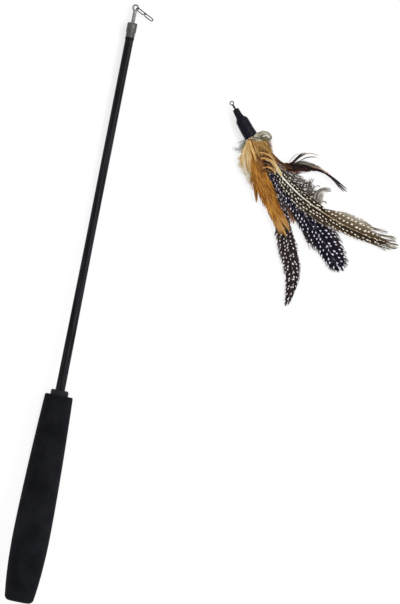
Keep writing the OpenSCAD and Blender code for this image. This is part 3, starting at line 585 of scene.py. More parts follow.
def lock(points, count, loose, thick, fine, seed, coat=0, shortest=0.7, tone=(0.0, 1.0), start=0.2, run_from=20.0):
    """A lock of strands along one smooth line through points given as (along, side, up) of the lure.

    The strands start close together, part by a growing share of `loose`, and end at their own shares of
    the line.
    """
    rng = np.random.default_rng(seed)
    line = smooth_line(points, 8)
    share = np.linspace(0, 1, LOCK_POINTS)[None]
    place = share * rng.uniform(shortest, 1, (count, 1)) * (len(line) - 1)
    low = np.minimum(place.astype(int), len(line) - 2)
    between = (place - low)[..., None]
    at = line[low] * (1 - between) + line[low + 1] * between
    slope = unit(np.gradient(line[:, :2], axis=0))[low]
    off = rng.normal(0, 1, (count, 1)) * loose * (start + (1 - start) * share**1.3)
    off = off + 0.15 * loose * np.sin(7 * share + ANY_PHASE * rng.random((count, 1)))
    at[..., 0] -= slope[..., 1] * off
    at[..., 1] += slope[..., 0] * off
    at[..., 2] = np.maximum(at[..., 2] + 0.4 * rng.normal(0, 1, (count, 1)) * loose * share, LOWEST)
    half = np.broadcast_to(thick + (fine - thick) * share, place.shape)
    uv = np.stack([run_from + place / (len(line) - 1) * 20, off], -1)
    return blades(in_lure(at), half, 0.6 * half, uv, rng.uniform(*tone, count), coat)


def wisp(points, *strands, **more):
    """A lock through places in the picture, given as (right, down) in its pixels and the height in mm."""
    right, down, up = np.array(points, float).T
    right, down = (right - MOUTH_SEEN[0]) * SEEN_MM, (down - MOUTH_SEEN[1]) * SEEN_MM
    a = math.radians(LURE_TURN - VIEW_TURN)
    at = np.stack([right * math.cos(a) - down * math.sin(a), -right * math.sin(a) - down * math.cos(a), up], -1)
    return lock(at, *strands, **more)


# Lengths and widths in mm, the place of the quill in the socket in shares of SOCKET_R, and the rib's route in
# shares of the length, along and to the side, and of PILE_H. The outlines further down are pairs of a share of
# the route and a share of the width.
FEATHERS = {
    "wing": dict(length=150, width=18, seat=(0.3, 0.3),
                 route=[(0.07, 0.01, 0.67), (0.2, 0.013, 0.66), (0.42, 0.053, 0.62), (0.627, 0.137, 0.5),
                        (0.8, 0.24, 0.36), (0.94, 0.353, 0.26)]),
    "dark": dict(length=134, width=24, seat=(0.16, -0.06),
                 route=[(0.1, 0.006, 0.52), (0.22, 0.007, 0.5), (0.45, 0.015, 0.46), (0.634, 0.016, 0.34),
                        (0.82, 0.025, 0.22), (0.993, 0.015, 0.15)]),
    "slim": dict(length=146, width=15, seat=(-0.32, -0.34),
                 route=[(0.05, -0.008, 0.42), (0.137, -0.017, 0.38), (0.308, -0.055, 0.34), (0.473, -0.103, 0.3),
                        (0.63, -0.158, 0.27), (0.78, -0.222, 0.23), (0.854, -0.284, 0.18), (0.91, -0.354, 0.13)]),
    "plume": dict(length=80, width=18, seat=(0.34, -0.77),
                  route=[(0.1, 0.022, 0.22), (0.25, 0.03, 0.18), (0.5, 0.08, 0.14), (0.75, 0.155, 0.14),
                         (0.95, 0.22, 0.16)]),
    "ginger": dict(length=88, width=13, seat=(-0.28, 0.62),
                   route=[(0.06, -0.035, 0.76), (0.205, -0.091, 0.72), (0.398, -0.136, 0.66), (0.568, -0.165, 0.6),
                          (0.727, -0.187, 0.54), (0.852, -0.2, 0.5), (0.955, -0.205, 0.47)]),
    "spike": dict(length=54, width=6, seat=(-0.72, 0.44),
                  route=[(0.07, -0.075, 0.56), (0.22, -0.15, 0.52), (0.46, -0.25, 0.44), (0.68, -0.36, 0.37),
                         (0.88, -0.47, 0.3)]),
    "under": dict(length=80, width=6, seat=(-0.19, -0.69),
                  route=[(0.1, -0.007, 0.29), (0.31, -0.013, 0.26), (0.62, -0.038, 0.21), (0.87, -0.06, 0.17),
                         (0.99, -0.1, 0.14)]),
    "fluff": dict(length=32, width=12, seat=(-0.69, 0.12),
                  route=[(0.07, -0.13, 0.47), (0.2, -0.26, 0.44), (0.42, -0.45, 0.38), (0.62, -0.63, 0.32),
                         (0.74, -0.72, 0.28)]),
    "barred": dict(length=42, width=13, seat=(0.16, 0.78),
                   route=[(0.06, 0.045, 0.86), (0.2, 0.1, 0.86), (0.43, 0.107, 0.83), (0.667, 0.13, 0.78),
                          (0.93, 0.214, 0.7)]),
    "upper": dict(length=72, width=3, seat=(0.81, 0.12),
                  route=[(0.07, 0.06, 0.6), (0.2, 0.068, 0.61), (0.368, 0.077, 0.62), (0.466, 0.136, 0.64),
                         (0.498, 0.238, 0.68), (0.488, 0.348, 0.7), (0.513, 0.45, 0.66), (0.6, 0.535, 0.6)]),
    "lower": dict(length=96, width=7, seat=(0.75, -0.41),
                  route=[(0.05, 0.045, 0.42), (0.165, 0.058, 0.42), (0.313, 0.081, 0.42), (0.392, 0.135, 0.42),
                         (0.45, 0.222, 0.41), (0.515, 0.292, 0.39), (0.588, 0.353, 0.36), (0.678, 0.4, 0.32),
                         (0.825, 0.448, 0.26)]),
    "curl": dict(length=24, width=6, seat=(0.6, 0.58),
                 route=[(0.11, 0.25, 0.8), (0.16, 0.38, 0.88), (0.25, 0.48, 0.92), (0.36, 0.5, 0.9),
                        (0.43, 0.44, 0.84)]),
    "tuft": dict(length=16, width=5, seat=(-0.82, -0.17),
                 route=[(0.12, -0.32, 0.38), (0.16, -0.56, 0.27), (0.24, -0.82, 0.18)]),
}
ROUTES = {name: lay_route(f["length"], f["seat"], f["route"]) for name, f in FEATHERS.items()}


def side_of(name, table, side, seed, under=0.84, **style):
    """One side of a feather: its barbs, over the layer that closes the vane unless `under` is 0."""
    route, width = ROUTES[name], FEATHERS[name]["width"]
    parts = [barbs(route, width, table, side, seed, **style)]
    if under:
        same = {k: style[k] for k in ("sweep", "bend", "drop", "coat") if k in style}
        parts.append(web(route, width, table, side, under, **same))
    return parts


def both(name, left, right, seed, **style):
    """Both sides of a feather, whose tables are the left and the right outline of its vane."""
    return side_of(name, left, 1, seed, **style) + side_of(name, right, -1, seed + 1, **style)


def feather(name, piece, node, slot, stem, coats, *parts):
    """One feather of the lure: its sides and its loose locks in one mesh, with its rib as thick as `stem` says."""
    make(piece, [*parts, rib(ROUTES[name], *stem)], coats, "lure", node, slot=slot)


dark_rib = rib_finish("dark", (120, 100, 90), (40, 30, 34), 10, 60)
ginger_rib = rib_finish("ginger", (214, 166, 92), (152, 92, 26), 4, 30)

# The long brown wing feather: a narrow vane as far as the split, then a wide one whose tip frays.
wing_left = [(0.1, 0.03), (0.2, 0.14), (0.34, 0.26), (0.48, 0.28), (0.55, 0.2), (0.59, 0.14), (0.6, 0.04)]
wing_left_far = [(0.605, 0.2), (0.64, 0.46), (0.7, 0.6), (0.79, 0.6), (0.84, 0.42), (0.88, 0.22), (0.92, 0.1),
    (0.96, 0.03)]
wing_right = [(0.12, 0.03), (0.2, 0.15), (0.33, 0.4), (0.45, 0.52), (0.58, 0.5), (0.68, 0.4), (0.8, 0.32),
    (0.88, 0.26), (0.92, 0.14), (0.96, 0.03)]
wing_look = spotted_finish("brown", (40, 28, 18), (88, 68, 46), (120, 104, 82), (246, 236, 216), 11, 150,
    (2.7, 3.6), (2.2, 3.0), (0.21, 0.21), lean=8.0, long=2.0, wobble=0.5, flecks=0.45, root=(26, 20, 18),
    root_end=105.0)
wing_far_look = spotted_finish("tan", (78, 58, 36), (138, 124, 96), (210, 202, 182), (252, 236, 218), 9.5,
    150, (2.7, 4.2), (2.6, 3.9), (0.2, 0.235), lean=20.0, long=1.6, wobble=0.3)
strand_look = hackle_finish("tip_strands", (60, 50, 38), (116, 108, 92), (192, 186, 170))
feather("wing", "wing_feather", "guinea_wing_feather", "feather_brown", (0.92, 0.12, 0.9), [wing_look,
    rib_finish("cream", (255, 253, 234), (182, 156, 116), 50, 100), wing_far_look, strand_look],
    side_of("wing", wing_left, 1, 11, sweep=(40, 50)),
    side_of("wing", wing_left_far, 1, 12, sweep=(52, 74), group=7, shift=0.5, coat=2),
    side_of("wing", wing_right, -1, 13, sweep=(45, 66), ragged=0.12, group=5),
    wisp([(360, 220, 2.8), (367, 223.6, 2.8), (374, 228, 2.7)], 12, 0.6, 0.26, 0.1, 22, 3, tone=(0.3, 1.0)),
    wisp([(364, 224, 2.8), (374, 228, 2.8), (382, 230.4, 2.7), (389, 231.6, 2.6)], 12, 0.7, 0.28, 0.12, 14, 3,
        tone=(0.1, 1.0)),
    wisp([(372, 232.5, 2.8), (384, 235, 2.8), (391, 236.6, 2.7), (397, 238.8, 2.6)], 18, 0.8, 0.3, 0.12, 15, 3,
        tone=(0.1, 0.9)),
    wisp([(374, 236.5, 2.8), (386, 239, 2.7), (397, 241.8, 2.6)], 8, 0.5, 0.32, 0.12, 16, 3, tone=(0.0, 0.5)),
    wisp([(374, 239.5, 2.8), (385, 242.4, 2.8), (393, 243.6, 2.8), (399.6, 245.2, 2.8)], 12, 0.45, 0.34, 0.16, 17, 3,
        tone=(0.0, 0.4)),
    wisp([(374, 242, 2.7), (386, 245.6, 2.7), (393, 247.8, 2.7), (398.8, 247.2, 2.7)], 10, 0.45, 0.34, 0.16, 18, 3,
        tone=(0.0, 0.5)),
    wisp([(372, 243, 2.6), (380, 246.4, 2.6), (386.6, 250.4, 2.6)], 9, 0.5, 0.32, 0.12, 19, 3, tone=(0.1, 0.7)),
    wisp([(376, 244.4, 2.6), (385, 247, 2.6), (391.6, 249.3, 2.6)], 8, 0.5, 0.32, 0.12, 20, 3, tone=(0.1, 0.7)),
    wisp([(386, 244.4, 2.7), (392, 246, 2.7), (397, 246.2, 2.7)], 7, 0.5, 0.32, 0.14, 21, 3, tone=(0.8, 1.0)))

# The broad blue-black feather. Its right side is stepped, and its tip frays.
dark_left = [(0.12, 0.02), (0.2, 0.12), (0.4, 0.26), (0.6, 0.36), (0.74, 0.46), (0.82, 0.57), (0.89, 0.53),
    (0.95, 0.42), (0.98, 0.28), (1.0, 0.02)]
dark_right = [(0.12, 0.02), (0.2, 0.14), (0.33, 0.34), (0.48, 0.38), (0.6, 0.38), (0.68, 0.42), (0.76, 0.58),
    (0.77, 0.46), (0.83, 0.38), (0.9, 0.36), (0.96, 0.3), (0.985, 0.2), (1.0, 0.02)]
dark_look = spotted_finish("blue_black", (14, 11, 30), (20, 17, 33), (60, 51, 47), (238, 230, 244), 11, 134,
    (2.3, 4.2), (2.2, 3.9), (0.15, 0.185), lean=34.0, long=1.8, wobble=0.55, streaks=0.5, flecks=0.5)
feather("dark", "dark_feather", "guinea_dark_feather", "feather_blue_black", (0.45, 0.15), [dark_look, dark_rib],
    side_of("dark", dark_left, 1, 21, sweep=(35, 62), ragged=0.12, group=7),
    side_of("dark", dark_right, -1, 22, sweep=(35, 62), ragged=0.16, group=5, shift=0.9),
    lock([(86, 12, 4.2), (92, 15.5, 4), (98.4, 19.5, 3.6), (104, 21.5, 3.2), (108, 21.9, 3)], 7, 0.5, 0.3, 0.12, 24,
        run_from=90.0))

# The slim black-brown feather, which bends away from the other two.
slim_right = [(0.1, 0.02), (0.17, 0.14), (0.35, 0.27), (0.5, 0.44), (0.56, 0.58), (0.64, 0.62), (0.72, 0.6),
    (0.82, 0.52), (0.92, 0.36), (0.98, 0.16), (1.0, 0.02)]
slim_left = [(0.1, 0.02), (0.17, 0.17), (0.35, 0.42), (0.45, 0.5), (0.52, 0.46), (0.59, 0.4), (0.66, 0.5),
    (0.74, 0.5), (0.82, 0.36), (0.9, 0.2), (0.97, 0.1), (1.0, 0.02)]
slim_look = spotted_finish("black_brown", (36, 26, 27), (50, 38, 38), (82, 70, 66), (236, 226, 226), 8, 146,
    (2.4, 3.7), (2.3, 3.3), (0.17, 0.21), lean=30.0, long=1.5, wobble=0.62, dim=0.35, flecks=0.5, streaks=0.25)
feather("slim", "slim_feather", "guinea_slim_feather", "feather_black_brown", (0.4, 0.14), [slim_look, dark_rib],
    side_of("slim", slim_left, 1, 31, sweep=(35, 66), ragged=0.12, group=5),
    side_of("slim", slim_right, -1, 32, sweep=(38, 66), ragged=0.25, group=4))

# The grey plume under the wing feather, with curled strands along its edge.
plume_left = [(0.2, 0.05), (0.32, 0.28), (0.45, 0.3), (0.58, 0.34), (0.7, 0.46), (0.77, 0.44), (0.84, 0.34),
    (0.93, 0.4), (1.0, 0.15)]
plume_right = [(0.15, 0.03), (0.25, 0.2), (0.5, 0.36), (0.8, 0.34), (1.0, 0.06)]
plume_look = spotted_finish("grey", (78, 70, 64), (136, 129, 122), (172, 165, 158), (246, 242, 238), 9, 80,
    (2.8, 3.4), (2.4, 3.2), (0.22, 0.23), lean=20.0, long=2.4, wobble=0.7, dim=0.3, flecks=0.8)
feather("plume", "grey_plume", "guinea_plume", "feather_grey", (0.36, 0.1), [plume_look, dark_rib,
    hackle_finish("grey_curls", (92, 84, 76), (144, 136, 126), (206, 200, 190))],
    side_of("plume", plume_left, 1, 41, sweep=(30, 55), pitch=0.4, ragged=0.15, group=4, shift=0.8, pull=0.3,
        wave=0.25, under=0.85, extra=0.8),
    side_of("plume", plume_right, -1, 42, sweep=(30, 55), pitch=0.5, wave=0.4),
    wisp([(302, 186, 1.6), (306.6, 184, 2.2), (310.4, 181.4, 3), (312, 177.4, 4)], 34, 1.2, 0.34, 0.08, 43, start=1.0,
        shortest=0.55, run_from=50.0),
    wisp([(309, 188, 1.8), (312, 186.4, 2.4), (312.6, 183, 3)], 20, 0.9, 0.3, 0.08, 47, shortest=0.5, run_from=56.0),
    wisp([(316, 206, 1.6), (316.6, 199, 2.2), (318, 193, 3), (322.6, 189.8, 3.6), (327, 189.2, 4), (331.6, 190.4, 4)],
        50, 0.8, 0.34, 0.08, 44, 2, start=1.3, shortest=0.6),
    wisp([(317, 207, 1.6), (319.6, 201, 2.2), (321, 196, 2.8), (322.4, 191.6, 3.4)], 44, 1.0, 0.36, 0.1, 45, 2,
        start=1.0, shortest=0.6),
    wisp([(313.6, 190, 1.8), (315, 186.4, 2.4), (318.4, 185.2, 3), (320.4, 187, 3)], 8, 0.3, 0.24, 0.08, 48, 2,
        tone=(0.5, 1.0)),
    wisp([(319, 207, 1.8), (321, 202, 2.2), (324.6, 201, 2.6), (326.8, 203.4, 2.6)], 12, 0.4, 0.28, 0.1, 46, 2))

# The long ginger hackle.
ginger_right = [(0.04, 0.12), (0.14, 0.26), (0.3, 0.4), (0.42, 0.52), (0.53, 0.58), (0.63, 0.62), (0.7, 0.54),
    (0.78, 0.47), (0.88, 0.52), (0.95, 0.4), (1.0, 0.1)]
ginger_left = [(0.03, 0.15), (0.1, 0.32), (0.2, 0.46), (0.3, 0.52), (0.42, 0.52), (0.53, 0.52), (0.63, 0.52),
    (0.72, 0.4), (0.8, 0.4), (0.9, 0.42), (1.0, 0.2)]
ginger_look = hackle_finish("ginger", (110, 60, 10), (154, 97, 25), (206, 149, 60), root=(172, 114, 34),
    root_end=30, tip=(192, 144, 80), tip_from=66.0)
hackle = dict(pitch=0.32, sweep=(70, 80), bend=1.15, ragged=0.2, group=3, shift=1.1)
feather("ginger", "ginger_hackle", "ginger_hackle_long", "feather_ginger", (0.36, 0.12), [ginger_look, ginger_rib],
    both("ginger", ginger_left, ginger_right, 51, **hackle),
    lock([(22, -9, 7), (30, -14, 6), (38, -18, 5), (46, -21.5, 4), (49, -22.8, 3.6)], 10, 0.8, 0.35, 0.1, 53,
        run_from=30.0),
    lock([(20, -10, 7), (28, -15, 6), (34, -18, 5), (40, -20, 4.4)], 10, 0.9, 0.35, 0.1, 54, run_from=30.0))

# The short ginger hackle with its pointed tips.
spike_side = [(0.1, 0.1), (0.25, 0.42), (0.5, 0.44), (0.75, 0.26), (1.0, 0.06)]
feather("spike", "ginger_spike", "ginger_hackle_short", "feather_ginger", (0.34, 0.1), [ginger_look, ginger_rib],
    both("spike", spike_side, spike_side, 61, **hackle))

# The ginger hackle that shows at its tip alone.
under_side = [(0.76, 0.1), (0.84, 0.5), (0.92, 0.66), (0.97, 0.5), (1.0, 0.1)]
under_look = hackle_finish("rust", (96, 50, 20), (150, 92, 52), (186, 132, 88))
feather("under", "ginger_under", "ginger_hackle_under", "feather_ginger", (0.3, 0.1), [under_look, dark_rib],
    both("under", under_side, under_side, 71, **hackle))

# The cream fluff: loose hairs with no closed layer, in soft locks.
fluff_side = [(0.05, 0.1), (0.3, 0.42), (0.6, 0.6), (0.85, 0.52), (1.0, 0.2)]
fluff_look = hackle_finish("cream", (204, 170, 112), (224, 196, 142), (244, 230, 196), root=(206, 172, 112),
    root_end=10, tip=(238, 228, 206), tip_from=14)
down = dict(pitch=0.16, sweep=(40, 62), bend=1.1, cover=(1.6, 1.2, 0.7), ragged=0.5, group=3, shift=1.4, wave=0.8,
    drop=0.1, loft=0.35, under=0)
gold_look = hackle_finish("pale_gold", (182, 128, 58), (208, 158, 84), (232, 194, 130))
wool_look = hackle_finish("cream_wool", (200, 156, 90), (220, 182, 118), (238, 216, 172))
stray_look = hackle_finish("stray", (150, 134, 108), (184, 170, 144), (216, 206, 186))
feather("fluff", "cream_down", "cream_fluff", "feather_cream", (0.3, 0.1), [fluff_look, ginger_rib, gold_look,
    stray_look, wool_look],
    both("fluff", fluff_side, fluff_side, 81, **down),
    side_of("fluff", fluff_side, 1, 83, **down),
    wisp([(248.5, 140, 8), (246.6, 146, 7), (244.4, 153, 6), (243, 160, 5), (243.6, 168, 4.4)], 80, 1.3, 0.28, 0.1,
        86, 4, start=0.4, tone=(0.4, 1.0)),
    wisp([(249, 140, 8.4), (248.4, 148, 7.6), (248, 156, 6.6), (248.6, 165, 5.6), (250, 173, 5)], 80, 1.2, 0.28, 0.12,
        87, 4, start=0.4, tone=(0.2, 0.8)),
    wisp([(249, 141, 8.6), (249.5, 149, 8.2), (250, 157, 7.2), (250.5, 166, 6.2), (250.5, 172, 5.6)], 60, 1.1, 0.3,
        0.14, 88, 4, start=0.4, tone=(0.1, 0.6)),
    wisp([(249.5, 140.5, 9.2), (251.5, 147, 9.4), (254.5, 154, 9), (257, 162, 8.4)], 36, 0.8, 0.3, 0.1, 89, 2,
        start=0.5, tone=(0.4, 1.0)),
    wisp([(246, 154, 5.6), (245, 162, 5), (246, 170, 4.4), (249, 178, 4), (250, 184, 3.8)], 60, 1.4, 0.26, 0.1, 93,
        start=0.5, tone=(0.3, 1.0)),
    wisp([(248, 162, 6), (249.6, 170, 5.4), (251, 177, 5), (251.6, 185, 4.6)], 12, 0.7, 0.24, 0.1, 90, 3))

# The barred feather, with the locks of gold, copper and grey that lie round it; one dark copper lock along the ginger
# hackle's edge is painted shade.
barred_right = [(0.05, 0.1), (0.22, 0.34), (0.45, 0.52), (0.68, 0.55), (0.8, 0.3), (0.88, 0.12), (0.95, 0.03)]
barred_left = [(0.05, 0.1), (0.16, 0.5), (0.25, 0.6), (0.34, 0.55), (0.45, 0.36), (0.55, 0.2), (0.7, 0.1),
    (0.85, 0.06), (1.0, 0.03)]
band_look = hackle_finish("gold_band", (172, 120, 56), (208, 160, 88), (244, 214, 154))
bar_look = hackle_finish("dark_bar", (48, 26, 16), (84, 52, 32), (130, 94, 60))
feather("barred", "barred_vane", "barred_feather", "feather_barred", (0.3, 0.12), [barred_finish(), ginger_rib,
    band_look, bar_look, hackle_finish("copper_and_shade", (88, 48, 24), (136, 86, 44), (188, 136, 78)),
    hackle_finish("gold_cream", (200, 164, 100), (226, 198, 140), (250, 236, 200)),
    hackle_finish("mauve_grey", (70, 54, 50), (114, 96, 88), (182, 168, 158)),
    hackle_finish("olive_gold", (104, 68, 24), (158, 116, 54), (206, 168, 104))],
    both("barred", barred_left, barred_right, 91, pitch=0.3, sweep=(60, 70), group=4),
    wisp([(256.5, 149.5, 9.2), (261, 150, 9.4), (266, 152.4, 9.4), (270, 156, 9.2)], 16, 0.5, 0.24, 0.1, 94, 3),
    wisp([(257.5, 155, 9.2), (263, 155.2, 9.4), (269, 158, 9.4), (273, 162.5, 9)], 20, 0.6, 0.24, 0.1, 95, 3),
    wisp([(263, 163, 9), (267, 162.8, 9.3), (271, 165, 9.2), (273, 168, 8.8)], 30, 1.0, 0.26, 0.12, 96, 3),
    wisp([(262, 171, 8.8), (266, 169.8, 9), (270, 170.8, 9), (273, 173.5, 8.8)], 18, 0.7, 0.24, 0.1, 97, 3),
    wisp([(257.5, 152.8, 9.4), (264, 152.8, 9.8), (270, 155.8, 9.8), (274.5, 161, 9.4), (277, 168, 8.8)], 12, 0.5,
        0.22, 0.1, 98, 2),
    wisp([(258.5, 158.5, 9.4), (265, 158, 9.8), (271, 160.8, 9.8), (275, 166, 9.4), (277.5, 172, 8.8)], 20, 0.8, 0.22,
        0.1, 99, 2),
    wisp([(262, 167.8, 9.2), (267, 166.8, 9.6), (272, 168.4, 9.6), (276, 172.6, 9)], 12, 0.5, 0.22, 0.1, 100, 2),
    wisp([(266, 158.6, 9.6), (271, 160.8, 9.8), (275.5, 165, 9.5), (279, 170.4, 8.9), (282, 176.4, 7.8)], 34, 0.45,
        0.26, 0.1, 101, 5, start=0.8),
    wisp([(271.5, 153.5, 9.2), (275, 158, 9), (279, 162, 8.4), (286, 165.4, 7.4)], 44, 0.75, 0.26, 0.1, 103, 4,
        start=0.6, shortest=0.6),
    wisp([(275.5, 158.6, 9.2), (280.5, 163.4, 8.6), (286, 166, 7.6), (292.5, 168, 6.8)], 30, 0.6, 0.26, 0.1, 109, 3,
        start=0.5, shortest=0.6, tone=(0.0, 0.6)),
    wisp([(262, 140.6, 9.6), (265, 145, 9.8), (268.6, 149.6, 9.8), (272, 154.5, 9.4)], 60, 1.4, 0.24, 0.08, 105, 7,
        start=0.8, shortest=0.5),
    wisp([(268.6, 142, 9.4), (270.6, 145.4, 9.3), (271.6, 149.4, 9.2)], 12, 0.5, 0.22, 0.08, 106, 6, start=0.8,
        shortest=0.5, tone=(0.6, 1.0)),
    wisp([(257, 141, 9.6), (259, 144.5, 9.8), (261.5, 149, 9.6)], 26, 1.1, 0.24, 0.1, 107, 7, start=0.8, shortest=0.5,
        tone=(0.5, 1.0)),
    wisp([(276, 163, 8.6), (281, 167, 8), (286, 170, 7)], 16, 1.0, 0.24, 0.1, 104, 6, start=0.8, shortest=0.5),
    # painted shade: a dark copper lock along the ginger hackle's edge, where shadow falls next to it
    wisp([(257, 153, 9.4), (259.5, 159, 9.6), (262.5, 166, 9.2), (265, 172, 8.8)], 30, 1.0, 0.24, 0.1, 102, 4,
        start=0.6, shortest=0.4, tone=(0.1, 0.7)),
    wisp([(254, 140.5, 9.6), (256, 146, 9.8), (259, 153, 9.6), (261, 158, 9.4)], 40, 1.0, 0.24, 0.12, 108, 7,
        start=0.8, shortest=0.5, tone=(0.2, 1.0)))

# The two brown hackles, thin and almost bare towards their tips.
brown_look = hackle_finish("dark_brown", (14, 6, 7), (26, 11, 10), (84, 42, 30))
rust_look = hackle_finish("red_brown", (40, 16, 12), (88, 44, 31), (168, 116, 92))
fuzz_look = hackle_finish("green_grey", (70, 66, 56), (104, 100, 88), (142, 136, 124))
upper_look = hackle_finish("brown_fading", (16, 8, 8), (30, 15, 13), (90, 50, 38), tip=(200, 172, 156),
    tip_from=50.0)
upper_side = [(0.06, 0.12), (0.3, 0.45), (0.6, 0.4), (0.76, 0.3), (0.84, 0.12), (1.0, 0.03)]
thin = dict(pitch=0.36, sweep=(72, 80), bend=1.1, group=3, shift=0.5, ragged=0.2, extra=0.2)
feather("upper", "brown_hackle_a", "brown_hackle_upper", "feather_dark_brown", (0.4, 0.1), [upper_look,
    rib_finish("fading", (40, 24, 22), (196, 160, 144), 50, 66), rust_look, brown_look],
    both("upper", [(a, 0.5 * b) for a, b in upper_side], upper_side, 101, **thin),
    lock([(33, 14.5, 5.8), (37.5, 20, 6), (37, 24, 6.2), (36.9, 28, 6.2), (37.4, 31.5, 6), (39.4, 36, 5.6),
        (43, 40.3, 5)], 5, 0.25, 0.26, 0.08, 103, shortest=0.85, run_from=36.0),
    wisp([(280, 161.6, 6.2), (284.4, 163.4, 6.2), (288.6, 164, 6.4), (292.4, 161.8, 6.6), (296, 158.2, 6.8),
        (299.4, 155, 6.8), (303, 153.2, 6.8), (308, 152.4, 6.6)], 20, 0.3, 0.32, 0.06, 104, 3, start=0.8,
        shortest=0.6, tone=(0.0, 0.4)),
    wisp([(289, 161.6, 6.4), (293, 157, 6.6), (297.5, 153.6, 6.8), (303, 152.4, 6.8)], 3, 0.25, 0.16, 0.06, 105, 2,
        tone=(0.9, 1.0)))

lower_right = [(0.05, 0.05), (0.3, 0.26), (0.42, 0.5), (0.5, 0.6), (0.6, 0.4), (0.68, 0.1), (0.9, 0.06), (1.0, 0.02)]
lower_left = [(0.05, 0.05), (0.3, 0.22), (0.45, 0.4), (0.6, 0.3), (0.7, 0.1), (0.9, 0.06), (1.0, 0.02)]
fuzz_side = [(0.4, 0.2), (0.48, 0.6), (0.56, 0.85), (0.66, 0.7), (0.74, 0.2)]
feather("lower", "brown_hackle_b", "brown_hackle_lower", "feather_dark_brown", (0.5, 0.12), [brown_look, dark_rib,
    rust_look, fuzz_look, hackle_finish("pink_brown", (150, 96, 72), (190, 138, 112), (216, 176, 150))],
    both("lower", lower_left, lower_right, 111, **thin),
    side_of("lower", [(0.42, 0.3), (0.46, 0.66), (0.5, 0.86), (0.54, 0.8), (0.58, 0.6), (0.64, 0.3)], -1, 113,
        **dict(thin, coat=2, under=0, lift=0)),
    side_of("lower", fuzz_side, 1, 114, **dict(thin, coat=3, sweep=(60, 70), pitch=0.2, wave=0.3, lift=-0.1)),
    lock([(44, 24, 4.2), (46, 30, 4.2), (50, 35.5, 4), (56, 39.5, 3.6), (62, 41.8, 3.2)], 5, 0.4, 0.3, 0.12, 115, 4),
    wisp([(318, 170, 4.4), (327, 174.4, 4.2), (334, 180.6, 3.8), (339, 186.4, 3.2), (343.6, 191.2, 2.8)], 7, 0.3,
        0.26, 0.1, 116, tone=(0.0, 0.6)),
    wisp([(320, 170.6, 4.4), (330, 176, 4.2), (338, 183, 3.6), (344, 188.6, 3), (348, 192.2, 2.8)], 7, 0.3, 0.24, 0.1,
        117, 3, tone=(0.0, 0.6)),
    wisp([(285, 163.2, 4.6), (296, 165.4, 4.8), (306, 167, 4.8), (316, 168.8, 4.6), (325, 172.8, 4.4),
        (334, 179.6, 4), (341, 186.4, 3.4), (346.6, 191.6, 2.8)], 22, 0.45, 0.3, 0.08, 118, start=0.7,
        tone=(0.0, 0.4), shortest=0.5),
    wisp([(285, 164.8, 4.8), (294, 167.8, 5), (302, 169.4, 5), (310, 169.8, 4.8)], 34, 0.8, 0.28, 0.1, 119,
        start=0.25, tone=(0.0, 0.8)))

# The grey curl beside the sleeve's mouth.
pale_look = hackle_finish("pale_grey", (84, 76, 64), (150, 142, 124), (220, 214, 196))
curl_side = [(0.05, 0.3), (0.3, 0.5), (0.6, 0.66), (0.85, 0.6), (1.0, 0.3)]
curly = dict(down, pitch=0.1, sweep=(20, 40), wave=1.0)
highlight_look = hackle_finish("highlight_down", (176, 168, 150), (214, 208, 194), (244, 242, 234))
feather("curl", "curl_down", "grey_curl", "feather_pale_grey", (0.3, 0.12), [pale_look, dark_rib, highlight_look,
    hackle_finish("olive_down", (62, 56, 42), (92, 84, 64), (140, 130, 104))],
    both("curl", curl_side, curl_side, 121, **curly),
    both("curl", curl_side, curl_side, 123, **curly),
    wisp([(254.5, 137, 9), (258, 133.8, 9.6), (262.5, 132.4, 10), (267, 133.2, 10), (269.8, 136, 9.6),
        (269.4, 138.4, 9)], 44, 0.7, 0.24, 0.1, 125, start=0.7, tone=(0.4, 1.0)),
    # painted highlight: a thin white stroke where the curl catches the lamp's light
    wisp([(263, 136.2, 10.4), (265.4, 135.2, 10.8), (267.8, 135.6, 10.8), (269.6, 137.6, 10.6)], 14, 0.22, 0.26, 0.16,
        126, 2, start=1.0, shortest=0.8, tone=(0.8, 1.0)),
    wisp([(261.6, 136, 10.2), (264, 137.2, 10.5), (267, 138, 10.4)], 12, 0.3, 0.24, 0.12, 131, 3, start=0.9,
        shortest=0.8, tone=(0.5, 1.0)),
    wisp([(260.5, 138, 10), (265, 139.4, 10.2), (269, 139.8, 10), (270.2, 138, 9.8)], 18, 0.5, 0.24, 0.1, 129, 3,
        start=0.8),
    wisp([(267, 140, 9.4), (271.5, 140.8, 9.4), (277, 143, 9)], 3, 0.3, 0.14, 0.06, 130, 2),
    wisp([(253.5, 137.5, 9.2), (257.5, 138, 9.4), (262, 139.6, 9.4), (267, 140.6, 9)], 44, 1.0, 0.22, 0.1, 127,
        start=0.6, shortest=0.5),
    wisp([(252.5, 138.4, 9.2), (256, 139.6, 9.4), (259, 141.6, 9.2)], 30, 1.0, 0.22, 0.1, 128, start=0.6,
        shortest=0.5))

